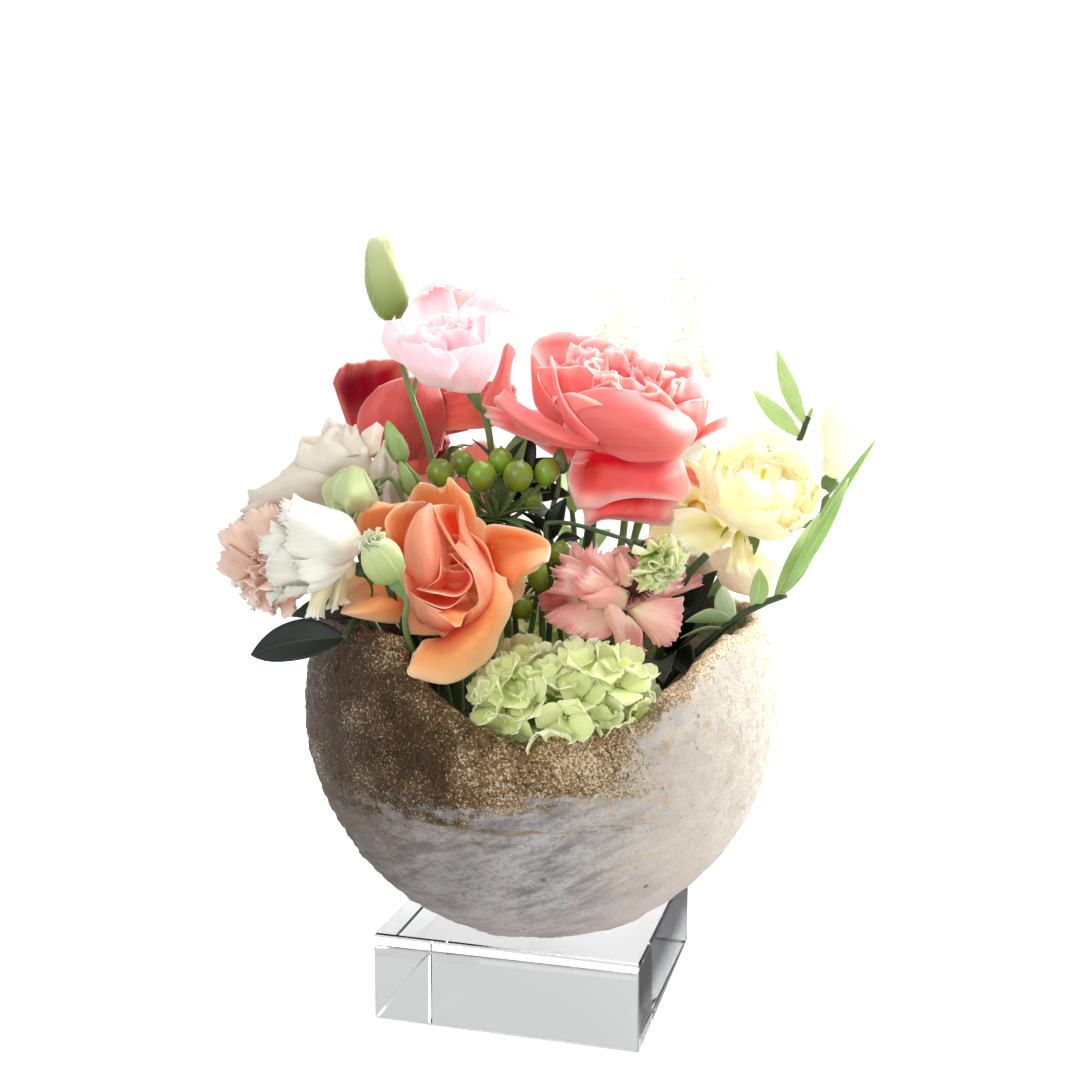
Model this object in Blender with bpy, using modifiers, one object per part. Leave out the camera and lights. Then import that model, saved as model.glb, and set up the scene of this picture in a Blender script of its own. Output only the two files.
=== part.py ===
"""A flower arrangement in a round bowl with a broken rim, on a clear square block.

The front faces -Y and +Z is up. The origin is the centre of the block's underside.
Lengths are in millimetres times MM, and angles in degrees. An azimuth is 0 towards
the front (-Y) and 90 towards the right (+X).
"""

import math
import random
from collections import namedtuple

import bmesh
import bpy
from mathutils import Matrix, Vector, noise

MM = 0.001

# Driving sizes
BLOCK_SIDE = 110
BLOCK_HEIGHT = 36
BLOCK_TURN = -15.7
BLOCK_BEVEL = 1.2
BOWL_RADIUS = 95
BOWL_WALL = 6
BOWL_FOOT_RADIUS = 20
BOWL_X = 0
BOWL_Y = -18
SEAT_GAP = 0.3
FOAM_TOP = 122
FOAM_CLEARANCE = 1.9
HOLE_DEPTH = 22
HOLE_CLEARANCE = 0.6
BLADE = 0.8
LEAF_BLADE = 0.9
PETAL_OUT = 1.2
PETAL_RISE = 2.5
PETAL_TUCK = 1.1
LEAF_FOLD = 0.25
LEAF_PEAK = 0.45
LOBES = 4
STOCK_GAP = 1.0
EYE_RISE = 11.7
EYE_RADIUS = 3.0

# Facets: sides of a round stem, sides and rings of a ball, and steps of a smooth line
STEM_SIDES = 6
STALK_SIDES = 4
BALL_SIDES = 6
BALL_RINGS = 4
LINE_STEPS = 2

BOWL_Z = BLOCK_HEIGHT + SEAT_GAP + math.sqrt(BOWL_RADIUS**2 - BOWL_FOOT_RADIUS**2)

# The broken rim: azimuth, and height above the bowl's centre
RIM = (
    (-180, 38), (-160, 40), (-135, 36), (-110, 39), (-85, 35), (-62, 37), (-45, 39), (-36, 38),
    (-31, 27), (-22, 18), (-15, 11), (-5, 5), (2, 9), (13, 9), (22, 12), (27, 21), (33, 26), (39, 33),
    (51, 37), (75, 35), (90, 38), (110, 36), (130, 40), (150, 35), (180, 38),
)

# Colours from the photograph: red, green, blue, and roughness
ORANGE = (0.93, 0.38, 0.20, 0.5)
CORAL = (0.92, 0.28, 0.26, 0.5)
RED = (0.72, 0.10, 0.12, 0.5)
CREAM = (0.87, 0.78, 0.66, 0.5)
PINK = (0.95, 0.70, 0.70, 0.5)
WHITE = (0.93, 0.91, 0.84, 0.5)
PEACH = (0.90, 0.60, 0.48, 0.5)
BLUSH = (0.88, 0.52, 0.47, 0.5)
PALE_GREEN = (0.70, 0.78, 0.48, 0.5)
LIME = (0.68, 0.76, 0.36, 0.5)
BUTTER = (0.95, 0.88, 0.58, 0.5)
STEM_GREEN = (0.13, 0.25, 0.08, 0.5)
LEAF_GREEN = (0.20, 0.38, 0.10, 0.45)
DARK_GREEN = (0.03, 0.08, 0.03, 0.4)
MAROON = (0.10, 0.02, 0.02, 0.6)
BERRY_GREEN = (0.30, 0.45, 0.06, 0.35)

# One whorl of petals. Opening is the angle from the bloom's axis at the root and at the tip,
# curl turns the margin outwards, first is the clock angle of the first petal (0 is up and 90 is
# to the viewer's right), and columns and rows are the petal's faces across and along.
Whorl = namedtuple("Whorl", "count length width open_root open_tip curl ruffle first columns rows")

# A bloom stands on base and faces azimuth and elevation. Core is the radius and height of the
# body that its petals grow from.
Bloom = namedtuple("Bloom", "name base azimuth elevation core whorls colour")

# A stem runs from the bloom's base to a hole in the foam, by way of any points given.
Stem = namedtuple("Stem", "name base azimuth elevation radius hole lead sepals via")

BLOOMS = (
    Bloom("orange_rose_petals", (-33, -57, 181), 4, 20, (9, 21), (
        Whorl(4, 30, 30, 17, 2, 1, 0, 75, 2, 3),
        Whorl(3, 33, 44, 36, 22, 3, 0, 10, 3, 3),
        Whorl(1, 50, 38, 42, 82, 3, 1, 170, 3, 3),
        Whorl(1, 45, 36, 58, 84, -2, 1, 90, 3, 3),
        Whorl(1, 43, 40, 50, 66, 3, 1, 28, 2, 3),
        Whorl(1, 42, 36, 56, 66, 3, 1, -34, 2, 3),
        Whorl(1, 38, 34, 78, 96, 2, 1, -90, 2, 3),
    ), ORANGE),
    Bloom("coral_rose_petals", (28, -6, 228), 30, 64, (10, 24), (
        Whorl(4, 38, 34, 24, 2, 1, 1, 30, 2, 3),
        Whorl(4, 44, 46, 50, 4, 1, 1, 0, 2, 3),
        Whorl(4, 50, 60, 80, -2, 1, 0, 47, 3, 3),
        Whorl(1, 54, 34, 96, 66, 2, 1, 287, 2, 3),
        Whorl(1, 48, 34, 94, 72, 2, 1, 112, 2, 3),
        Whorl(1, 40, 42, 102, 164, 3, 1, 210, 3, 3),
        Whorl(1, 38, 38, 112, 174, 3, 1, 156, 3, 3),
    ), CORAL),
    Bloom("red_rose_petals", (-42, 34, 224), -105, 46, (9, 22), (
        Whorl(4, 38, 36, 24, 8, 2, 0, 30, 2, 3),
        Whorl(5, 46, 46, 44, 20, 4, 1, 10, 2, 3),
    ), RED),
    Bloom("cream_rose_petals", (-60, -16, 206), -98, 28, (9, 22), (
        Whorl(4, 46, 40, 20, 6, 1, 2, 40, 2, 3),
        Whorl(5, 56, 48, 38, 20, 2, 2, 12, 2, 3),
    ), CREAM),
    Bloom("pink_lisianthus_petals", (-27, -20, 254), -40, 66, (7, 16), (
        Whorl(4, 33, 30, 24, 0, 1, 2, 40, 2, 3),
        Whorl(5, 40, 42, 52, 10, 3, 2, 0, 2, 3),
    ), PINK),
    Bloom("white_lisianthus_petals", (-66, -80, 191), -80, 6, (6, 15), (
        Whorl(4, 33, 28, 24, 4, 1, 2, 20, 2, 3),
        Whorl(4, 38, 38, 48, 18, 2, 3, 0, 2, 3),
        Whorl(1, 38, 24, 70, 100, 2, 2, 190, 2, 3),
    ), WHITE),
    Bloom("peach_carnation_petals", (-93, -22, 184), -62, -4, (6, 12), (
        Whorl(5, 24, 22, 26, 14, 0, 2, 30, 2, 2),
        Whorl(6, 25, 24, 60, 50, 0, 2, 0, 2, 2),
    ), PEACH),
    Bloom("blush_lisianthus_petals", (37, -50, 181), 12, 24, (5, 8), (
        Whorl(3, 22, 22, 40, 56, 1, 1, 250, 2, 2),
        Whorl(5, 33, 38, 68, 84, -2, 3, 20, 3, 3),
    ), BLUSH),
    Bloom("nodding_lisianthus_petals", (-64, -60, 217), -35, -30, (5, 13), (
        Whorl(4, 22, 20, 34, 4, 2, 1, 30, 2, 2),
    ), PALE_GREEN),
    Bloom("tall_bud_petals", (-61, 2, 282), -75, 82, (6, 27), (
        Whorl(3, 33, 24, 14, -8, 0, 0, 0, 2, 3),
    ), PALE_GREEN),
    Bloom("green_bud_petals", (-54, -102, 190), -52, 58, (5, 13), (
        Whorl(4, 21, 18, 36, -22, -1, 0, 0, 2, 2),
    ), PALE_GREEN),
    Bloom("ruffled_bud_petals", (36, -80, 197), 50, -28, (5, 11), (
        Whorl(5, 21, 19, 34, 8, 1, 2, 30, 2, 2),
    ), PALE_GREEN),
    Bloom("cream_ranunculus_petals", (83, -28, 202), 10, 42, (10, 22), (
        Whorl(5, 33, 36, 54, -14, 0, 1, 30, 2, 3),
        Whorl(5, 42, 50, 86, -12, 1, 1, 0, 3, 3),
    ), BUTTER),
    Bloom("butter_lisianthus_petals", (65, -6, 206), -22, -10, (5, 8), (
        Whorl(1, 22, 26, 62, 84, -1, 2, -78, 3, 3),
        Whorl(1, 31, 32, 72, 92, -1, 2, -145, 3, 3),
        Whorl(1, 34, 30, 62, 90, 1, 2, 155, 3, 3),
    ), BUTTER),
    Bloom("cream_tulip_petals", (122, 8, 216), 60, 70, (7, 14), (
        Whorl(3, 31, 27, 26, -8, 0, 0, 0, 2, 2),
        Whorl(3, 34, 31, 46, -8, 0, 0, 60, 2, 3),
    ), CREAM),
    Bloom("peach_rose_petals", (66, 18, 176), 40, 40, (8, 16), (
        Whorl(5, 31, 32, 34, 8, 2, 0, 40, 2, 3),
    ), CREAM),
    Bloom("back_rose_petals", (-38, 44, 190), 200, 40, (9, 16), (
        Whorl(5, 38, 42, 42, 16, 3, 1, 10, 2, 3),
    ), CORAL),
    Bloom("back_lisianthus_petals", (46, 56, 204), 165, 48, (7, 16), (
        Whorl(5, 36, 40, 42, 8, 2, 2, 40, 2, 3),
    ), WHITE),
)

TALL_BUD_STEM = Stem("tall_bud_stem", (-61, 2, 282), -75, 82, 1.3, (-30, 4), 14, 0,
                     ((-52, 2, 250), (-43, 2, 221)))

STEMS = (
    Stem("orange_rose_stem", (-33, -57, 181), 4, 20, 2.2, (-26, -44), 14, 0, ()),
    Stem("coral_rose_stem", (28, -6, 228), 30, 64, 2.6, (16, 0), 30, 0, ()),
    Stem("red_rose_stem", (-42, 34, 224), -105, 46, 2.3, (-22, 14), 20, 0, ()),
    Stem("cream_rose_stem", (-60, -16, 206), -98, 28, 2.3, (-34, -14), 20, 3, ()),
    Stem("pink_lisianthus_stem", (-27, -20, 254), -40, 66, 1.5, (-12, -16), 26, 3, ()),
    Stem("white_lisianthus_stem", (-66, -80, 191), -80, 6, 1.4, (-44, -62), 8, 2,
         ((-55, -79, 184), (-51, -71, 168))),
    Stem("peach_carnation_stem", (-93, -22, 184), -62, -4, 1.5, (-52, -22), 14, 0, ()),
    Stem("blush_lisianthus_stem", (37, -50, 181), 12, 24, 1.4, (24, -36), 12, 0, ()),
    Stem("nodding_lisianthus_stem", (-64, -60, 217), -35, -30, 1.1, (-36, -42), 5, 0,
         ((-56, -54, 221), (-50, -52, 204))),
    Stem("green_bud_stem", (-54, -102, 190), -52, 58, 1.6, (-38, -74), 10, 3, ((-48, -87, 168),)),
    Stem("ruffled_bud_stem", (36, -80, 197), 50, -28, 1.3, (12, -44), 9, 0,
         ((6, -64, 206), (2, -60, 196))),
    Stem("cream_ranunculus_stem", (83, -28, 202), 10, 42, 1.8, (44, -14), 26, 0, ()),
    Stem("butter_lisianthus_stem", (65, -6, 206), -22, -10, 1.4, (32, 2), 12, 0, ()),
    Stem("cream_tulip_stem", (122, 8, 216), 60, 70, 1.8, (54, 28), 20, 0,
         ((90, 32, 194), (62, 32, 176))),
    Stem("peach_rose_stem", (66, 18, 176), 40, 40, 1.8, (46, 10), 12, 0, ()),
    Stem("back_rose_stem", (-38, 44, 190), 200, 40, 2.0, (-34, 28), 14, 3, ()),
    Stem("back_lisianthus_stem", (46, 56, 204), 165, 48, 1.5, (28, 42), 16, 3, ()),
)


def mm(*values):
    """A vector from millimetres."""
    return Vector(values) * MM


def facing(azimuth, elevation):
    """The unit vector towards an azimuth and an elevation."""
    a = math.radians(azimuth)
    e = math.radians(elevation)
    return Vector((math.sin(a) * math.cos(e), -math.cos(a) * math.cos(e), math.sin(e)))


def frame_of(base, azimuth, elevation):
    """The matrix that stands local +Z on base, facing azimuth and elevation, with local +X uppermost."""
    axis = facing(azimuth, elevation)
    up = Vector((0, 0, 1)) - axis * axis.z
    up.normalize()
    turn = Matrix((up, axis.cross(up), axis)).transposed().to_4x4()
    return Matrix.Translation(mm(*base)) @ turn


def clock(angle):
    """The direction of a clock angle in a bloom's frame: 0 is up, and it grows to the viewer's right."""
    return Vector((math.cos(angle), -math.sin(angle), 0))


def material(name, colour, metallic=0.0, alpha=1.0):
    """A Principled material of one colour and roughness."""
    made = bpy.data.materials.get(name)
    if made:
        return made
    made = bpy.data.materials.new(name)
    made.use_nodes = True
    shader = made.node_tree.nodes["Principled BSDF"]
    shader.inputs["Base Color"].default_value = (*colour[:3], 1.0)
    shader.inputs["Roughness"].default_value = colour[3]
    shader.inputs["Metallic"].default_value = metallic
    shader.inputs["Alpha"].default_value = alpha
    return made


def clear_scene():
    """Removes what the startup file holds."""
    for obj in list(bpy.data.objects):
        bpy.data.objects.remove(obj)


def collection(name):
    """A new collection in the scene."""
    made = bpy.data.collections.new(name)
    bpy.context.scene.collection.children.link(made)
    return made


def new_object(name, data, home):
    """A new object in a collection."""
    obj = bpy.data.objects.new(name, data)
    home.objects.link(obj)
    return obj


def move_home(obj, home):
    """Takes an object that an operator made out of its collections and into home."""
    for other in obj.users_collection:
        other.objects.unlink(obj)
    home.objects.link(obj)


def blade(columns, rows, place, thickness, home):
    """A thin solid: a grid of columns by rows, bent by place(s, t), with Solidify.

    s runs from -1 to 1 across the blade and t from 0 at its root to 1 at its tip.
    """
    shape = bmesh.new()
    bmesh.ops.create_grid(shape, x_segments=columns, y_segments=rows, size=1.0)
    for vertex in shape.verts:
        vertex.co = place(vertex.co.x, (vertex.co.y + 1) / 2)
    bmesh.ops.remove_doubles(shape, verts=shape.verts, dist=0.05 * MM)
    bmesh.ops.triangulate(shape, faces=shape.faces)
    mesh = bpy.data.meshes.new("blade")
    shape.to_mesh(mesh)
    shape.free()
    obj = new_object("blade", mesh, home)
    solid = obj.modifiers.new("Thickness", "SOLIDIFY")
    solid.thickness = thickness * MM
    solid.offset = 0
    return obj


def petal(frame, whorl, index, chance, home):
    """One petal of a whorl: a lobe of a surface turned round its bloom's axis."""
    angle = math.radians(whorl.first + index * 360 / whorl.count + chance.uniform(-3, 3))
    open_root = math.radians(whorl.open_root)
    bend = math.radians(whorl.open_tip + chance.uniform(-3, 3) + 0.01) - open_root
    length = whorl.length * chance.uniform(0.97, 1.03)
    phase = chance.uniform(0, 2 * math.pi)
    share = math.pi / whorl.count if whorl.count > 1 else 0.75
    tuck = PETAL_TUCK if whorl.count > 1 else 0

    def place(s, t):
        reach = t * (1 - 0.28 * abs(s) ** 2.6)
        tilt = open_root + bend * reach
        out = PETAL_OUT + length * (math.cos(open_root) - math.cos(tilt)) / bend
        rise = PETAL_RISE + length * (math.sin(tilt) - math.sin(open_root)) / bend
        half = whorl.width / 2 * math.sin(min(1, reach / 0.6) * math.pi / 2) ** 0.8
        widest = share * (0.76 + 0.2 * min(1, 2 * t))
        radial = clock(angle + s * min(half / max(out, 2), widest))
        inward = Vector((0, 0, math.sin(tilt))) - math.cos(tilt) * radial
        lift = tuck * s * min(1, 2 * t) - whorl.curl * max(t**4, abs(s) ** 4 * t)
        lift += whorl.ruffle * 0.7 * t * t * math.sin(2.2 * math.pi * s + phase)
        return frame @ ((out * radial + Vector((0, 0, rise)) + lift * inward) * MM)

    return blade(whorl.columns, whorl.rows, place, BLADE, home)


def egg(frame, radius, height, home):
    """A closed egg that stands on a frame's origin."""
    bpy.ops.mesh.primitive_uv_sphere_add(segments=BALL_SIDES, ring_count=BALL_RINGS, radius=1.0)
    obj = bpy.context.object
    obj.data.transform(Matrix.Diagonal((radius * MM, radius * MM, height / 2 * MM, 1)))
    obj.data.transform(Matrix.Translation((0, 0, height / 2 * MM)))
    obj.data.transform(frame)
    move_home(obj, home)
    return obj


def tube(points, radius, home, sides=STEM_SIDES):
    """A closed round tube along points in millimetres, as a mesh."""
    line = bpy.data.curves.new("tube", "CURVE")
    line.dimensions = "3D"
    line.bevel_depth = radius * MM
    line.bevel_resolution = sides // 2 - 2
    line.use_fill_caps = True
    spline = line.splines.new("POLY")
    spline.points.add(len(points) - 1)
    for target, point in zip(spline.points, points):
        target.co = (*(Vector(point) * MM), 1)
    curve = new_object("tube", line, home)
    bpy.context.view_layer.update()
    graph = bpy.context.evaluated_depsgraph_get()
    mesh = bpy.data.meshes.new_from_object(curve.evaluated_get(graph))
    shape = bmesh.new()
    shape.from_mesh(mesh)
    bmesh.ops.remove_doubles(shape, verts=shape.verts, dist=0.01 * MM)
    shape.to_mesh(mesh)
    shape.free()
    obj = new_object("tube", mesh, home)
    obj.matrix_world = curve.matrix_world
    bpy.data.objects.remove(curve)
    return obj


def smooth_line(points):
    """Points on a smooth curve (Catmull-Rom) through the points given."""
    points = [Vector(p) for p in points]
    ends = [2 * points[0] - points[1]] + points + [2 * points[-1] - points[-2]]
    line = []
    for i in range(1, len(ends) - 2):
        before, start, end, after = ends[i - 1 : i + 3]
        for k in range(LINE_STEPS):
            t = k / LINE_STEPS
            line.append(0.5 * (
                2 * start + (end - before) * t
                + (2 * before - 5 * start + 4 * end - after) * t**2
                + (3 * start - before - 3 * end + after) * t**3
            ))
    line.append(points[-1])
    return line


def fuse(name, pieces, home, finish):
    """Joins overlapping solids into one mesh object by a Boolean union on a collection."""
    others = bpy.data.collections.new("others")
    bpy.context.scene.collection.children.link(others)
    bpy.context.view_layer.update()
    graph = bpy.context.evaluated_depsgraph_get()
    solids = []
    for piece in pieces:
        mesh = bpy.data.meshes.new_from_object(piece.evaluated_get(graph))
        mesh.transform(piece.matrix_world)
        solids.append(mesh)
    for piece in pieces:
        bpy.data.objects.remove(piece)
    first = new_object(name, solids[0], home)
    for mesh in solids[1:]:
        new_object("other", mesh, others)
    if len(solids) > 1:
        union = first.modifiers.new("Union", "BOOLEAN")
        union.operation = "UNION"
        union.operand_type = "COLLECTION"
        union.collection = others
        union.solver = "MANIFOLD"
        bpy.context.view_layer.update()
        graph = bpy.context.evaluated_depsgraph_get()
        joined = bpy.data.meshes.new_from_object(first.evaluated_get(graph))
        first.modifiers.clear()
        first.data = joined
    for obj in list(others.objects):
        bpy.data.objects.remove(obj)
    bpy.data.collections.remove(others)
    first.data.name = name
    first.data.materials.clear()
    first.data.materials.append(finish)
    first.data.shade_smooth()
    first.data.set_sharp_from_angle(angle=math.radians(50))
    return first


def make_bloom(bloom, home):
    """The petals of one bloom, fused to its core."""
    chance = random.Random(bloom.name)
    frame = frame_of(bloom.base, bloom.azimuth, bloom.elevation)
    pieces = [egg(frame @ Matrix.Translation(mm(0, 0, 0.4)), *bloom.core, home)]
    for whorl in bloom.whorls:
        for index in range(whorl.count):
            pieces.append(petal(frame, whorl, index, chance, home))
    finish = material(bloom.name.replace("_petals", ""), bloom.colour)
    return fuse(bloom.name, pieces, home, finish)


def leaf(base, tip, width, droop, home, rows=4, roll=0):
    """A pointed leaf from base to tip in millimetres, folded along its rib.

    Droop is how far its middle stands above the straight line, and roll turns it on that line.
    """
    base = Vector(base)
    run = Vector(tip) - base
    side = run.cross(Vector((0, 0, 1)))
    if side.length < 0.05 * run.length:
        side = Vector((1, 0, 0))
    side.normalize()
    side.rotate(Matrix.Rotation(math.radians(roll), 4, run.normalized()))
    over = side.cross(run).normalized()

    def place(s, t):
        shape = math.sin(math.pi * t ** (math.log(0.5) / math.log(LEAF_PEAK))) ** 0.8
        half = width / 2 * max(0.0, shape)
        point = base + run * t + over * (droop * 4 * t * (1 - t))
        point = point + side * (s * half) + over * (LEAF_FOLD * abs(s) * half)
        return point * MM

    return blade(2, rows, place, LEAF_BLADE, home)


def stem_line(points, hole):
    """A smooth line through points that ends straight down in a hole in the foam."""
    line = smooth_line([*points, (*hole, FOAM_TOP + 12)])
    return [*line, Vector((*hole, FOAM_TOP - HOLE_DEPTH + 2))]


def stem_pieces(stem, home):
    """The pieces of a stem, with the calyx and the sepals under its bloom."""
    axis = facing(stem.azimuth, stem.elevation)
    base = Vector(stem.base)
    line = stem_line([base - axis * 4, base - axis * stem.lead, *stem.via], stem.hole)
    pieces = [tube(line, stem.radius, home)]
    frame = frame_of(stem.base, stem.azimuth, stem.elevation)
    cup = min(4.0, stem.radius * 2)
    bpy.ops.mesh.primitive_cone_add(
        vertices=6, radius1=stem.radius * 1.05 * MM, radius2=cup * MM, depth=6 * MM
    )
    calyx = bpy.context.object
    calyx.data.transform(frame @ Matrix.Translation(mm(0, 0, -3.2)))
    move_home(calyx, home)
    pieces.append(calyx)
    for i in range(stem.sepals):
        radial = clock(2 * math.pi * (i + 0.5) / stem.sepals)
        root = frame @ ((radial * (cup - 1.4) + Vector((0, 0, -1.8))) * MM) / MM
        tip = frame @ ((radial * (cup + 8) + Vector((0, 0, -9.0))) * MM) / MM
        pieces.append(leaf(root, tip, 4.5, 1.5, home, rows=2))
    return pieces


def make_stem(stem, home):
    """One stem, fused."""
    return fuse(stem.name, stem_pieces(stem, home), home, material("stem", STEM_GREEN))


def rim_height(azimuth):
    """The broken rim's height above the bowl's centre at an azimuth."""
    for (a, low), (b, high) in zip(RIM, RIM[1:]):
        if azimuth <= b:
            return low + (high - low) * (azimuth - a) / (b - a)
    return RIM[-1][1]


def make_bowl(home):
    """The round bowl: an open sphere up to its broken rim, with a flat foot, given its wall by Solidify."""
    shape = bmesh.new()
    columns, rows = 36, 6
    bmesh.ops.create_grid(shape, x_segments=columns, y_segments=rows, size=1.0)
    foot = math.asin(BOWL_FOOT_RADIUS / BOWL_RADIUS)
    for vertex in shape.verts:
        azimuth = 180 * vertex.co.x
        level = (vertex.co.y + 1) / 2 * rows
        rim = math.pi / 2 + math.asin(rim_height(azimuth) / BOWL_RADIUS)
        polar = foot * level if level < 1 else foot + (rim - foot) * (level - 1) / (rows - 1)
        radius = BOWL_RADIUS * math.sin(polar)
        height = -BOWL_RADIUS * math.cos(max(polar, foot))
        a = math.radians(azimuth)
        point = Vector((radius * math.sin(a), -radius * math.cos(a), height))
        if level > 1.5:
            point *= 1 + 0.004 * noise.noise(point * 0.06)
        vertex.co = (point + Vector((BOWL_X, BOWL_Y, BOWL_Z))) * MM
    bmesh.ops.remove_doubles(shape, verts=shape.verts, dist=0.05 * MM)
    bmesh.ops.triangulate(shape, faces=shape.faces)
    bmesh.ops.recalc_face_normals(shape, faces=shape.faces)
    mesh = bpy.data.meshes.new("gilded_bowl")
    shape.to_mesh(mesh)
    shape.free()
    bowl = new_object("gilded_bowl", mesh, home)
    wall = bowl.modifiers.new("Wall", "SOLIDIFY")
    wall.thickness = BOWL_WALL * MM
    wall.offset = -1
    wall.use_even_offset = True
    mesh.materials.append(material("gilded_plaster", (0.55, 0.40, 0.20, 0.45), metallic=0.4))
    mesh.shade_smooth()
    return bowl


def make_block(home):
    """The clear square block, turned a little, with eased edges."""
    bpy.ops.mesh.primitive_cube_add(size=1.0)
    block = bpy.context.object
    block.name = "acrylic_block"
    block.data.transform(Matrix.Diagonal((BLOCK_SIDE * MM, BLOCK_SIDE * MM, BLOCK_HEIGHT * MM, 1)))
    block.location = (0, 0, BLOCK_HEIGHT / 2 * MM)
    block.rotation_euler = (0, 0, math.radians(BLOCK_TURN))
    edge = block.modifiers.new("Eased edges", "BEVEL")
    edge.width = BLOCK_BEVEL * MM
    edge.segments = 2
    block.data.materials.append(material("clear_acrylic", (0.9, 0.92, 0.93, 0.05), alpha=0.35))
    move_home(block, home)
    return block


def make_foam(home, cutters, holes):
    """The wet foam that fills the bowl and holds the stems: a turned profile with plain holes."""
    inner = BOWL_RADIUS - BOWL_WALL - FOAM_CLEARANCE
    low = BLOCK_HEIGHT + SEAT_GAP + BOWL_WALL + SEAT_GAP
    start = math.asin((BOWL_Z - FOAM_TOP + 8) / inner)
    foot = BOWL_FOOT_RADIUS - 3
    end = math.acos(foot / inner)
    arc = [(inner * math.cos(start + (end - start) * k / 4),
            BOWL_Z - inner * math.sin(start + (end - start) * k / 4)) for k in range(5)]
    arc[-1] = (foot, low)
    profile = [(0, FOAM_TOP), (arc[0][0] - 9, FOAM_TOP), *arc, (0, low)]
    mesh = bpy.data.meshes.new("wet_foam")
    mesh.from_pydata([(x * MM, 0, z * MM) for x, z in profile],
                     [(i, i + 1) for i in range(len(profile) - 1)], [])
    foam = new_object("wet_foam", mesh, home)
    foam.location = mm(BOWL_X, BOWL_Y, 0)
    screw = foam.modifiers.new("Turn", "SCREW")
    screw.axis = "Z"
    screw.steps = 14
    screw.render_steps = 14
    screw.use_merge_vertices = True
    screw.merge_threshold = 0.0001
    for x, y, radius in holes:
        bpy.ops.mesh.primitive_cylinder_add(
            vertices=5, radius=(radius + HOLE_CLEARANCE) * 1.24 * MM, depth=2 * HOLE_DEPTH * MM,
            location=(x * MM, y * MM, FOAM_TOP * MM),
        )
        hole = bpy.context.object
        hole.hide_render = True
        hole.display_type = "WIRE"
        move_home(hole, cutters)
    cut = foam.modifiers.new("Stem holes", "BOOLEAN")
    cut.operation = "DIFFERENCE"
    cut.operand_type = "COLLECTION"
    cut.collection = cutters
    mesh.materials.append(material("wet_foam", (0.08, 0.22, 0.08, 0.9)))
    return foam


def floret(frame, size, dish, depth, home):
    """A lobed floret that tapers behind to a point, which sinks into what it grows on."""
    ring = []
    for k in range(2 * LOBES):
        turn = math.pi * k / LOBES
        radius = size if k % 2 == 0 else size * 0.55
        height = dish * size if k % 2 == 0 else dish * size * 0.5
        ring.append((radius * math.cos(turn), radius * math.sin(turn), height))
    count = len(ring)
    faces = []
    for k in range(count):
        after = (k + 1) % count
        faces += [(count, k, after), (count + 1, after, k)]
    mesh = bpy.data.meshes.new("floret")
    mesh.from_pydata([*ring, (0, 0, 0.4), (0, 0, -depth)], [], faces)
    mesh.transform(Matrix.Scale(MM, 4))
    mesh.transform(frame)
    return new_object("floret", mesh, home)


def make_hydrangea(name, centre, radii, count, home):
    """A mop of florets spread evenly over an egg-shaped core, bare below where its stem enters."""
    chance = random.Random(name)
    frame = Matrix.Translation(mm(*centre))
    bpy.ops.mesh.primitive_uv_sphere_add(segments=10, ring_count=5, radius=1.0)
    core = bpy.context.object
    inner = [(r - 3.5) * MM for r in radii]
    core.data.transform(frame @ Matrix.Diagonal((*inner, 1)))
    move_home(core, home)
    pieces = [core]
    golden = math.pi * (3 - math.sqrt(5))
    for k in range(count):
        z = 1 - 2 * (k + 0.5) / count
        ring = math.sqrt(1 - z * z)
        way = Vector((ring * math.cos(golden * k), ring * math.sin(golden * k), z))
        if z < -0.72:
            continue
        spot = Vector(way[i] * radii[i] for i in range(3))
        out = Vector(way[i] / radii[i] for i in range(3)).normalized()
        spin = Matrix.Rotation(chance.uniform(0, math.pi), 4, "Z")
        tilt = out.to_track_quat("Z", "Y").to_matrix().to_4x4()
        place = frame @ Matrix.Translation((spot - out * 2.6) * MM) @ tilt @ spin
        pieces.append(floret(place, chance.uniform(7.6, 8.8), chance.uniform(0.1, 0.3), 4.5, home))
    return fuse(name, pieces, home, material("hydrangea", LIME))


def upright_stem(name, x, y, top, radius, home):
    """A straight stem that stands in the foam under a hydrangea head."""
    line = [Vector((x, y, top)), Vector((x, y, FOAM_TOP - HOLE_DEPTH + 2))]
    return fuse(name, [tube(line, radius, home)], home, material("stem", STEM_GREEN))


def ball(centre, radius, home, stretch=1.1):
    """A berry or a small bud, a little taller than wide."""
    bpy.ops.mesh.primitive_uv_sphere_add(
        segments=BALL_SIDES, ring_count=BALL_RINGS, radius=radius * MM
    )
    obj = bpy.context.object
    obj.data.transform(Matrix.Translation(mm(*centre)) @ Matrix.Diagonal((1, 1, stretch, 1)))
    move_home(obj, home)
    return obj


# Each berry of a spray: its centre, and its radius
UPPER_BERRIES = (
    ((-39, -38, 222), 5.4), ((-23, -39, 221), 5.6), ((-9, -39, 221), 5.8), ((2, -32, 222), 5.0),
    ((-31, -27, 225), 4.8), ((-16, -29, 226), 5.0), ((-29, -34, 210), 4.4), ((-4, -28, 211), 4.4),
)
LOWER_BERRIES = (
    ((0, -48, 183), 5.4), ((-8, -50, 172), 4.8), ((7, -40, 191), 4.6), ((-5, -38, 194), 4.2),
)


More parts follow.
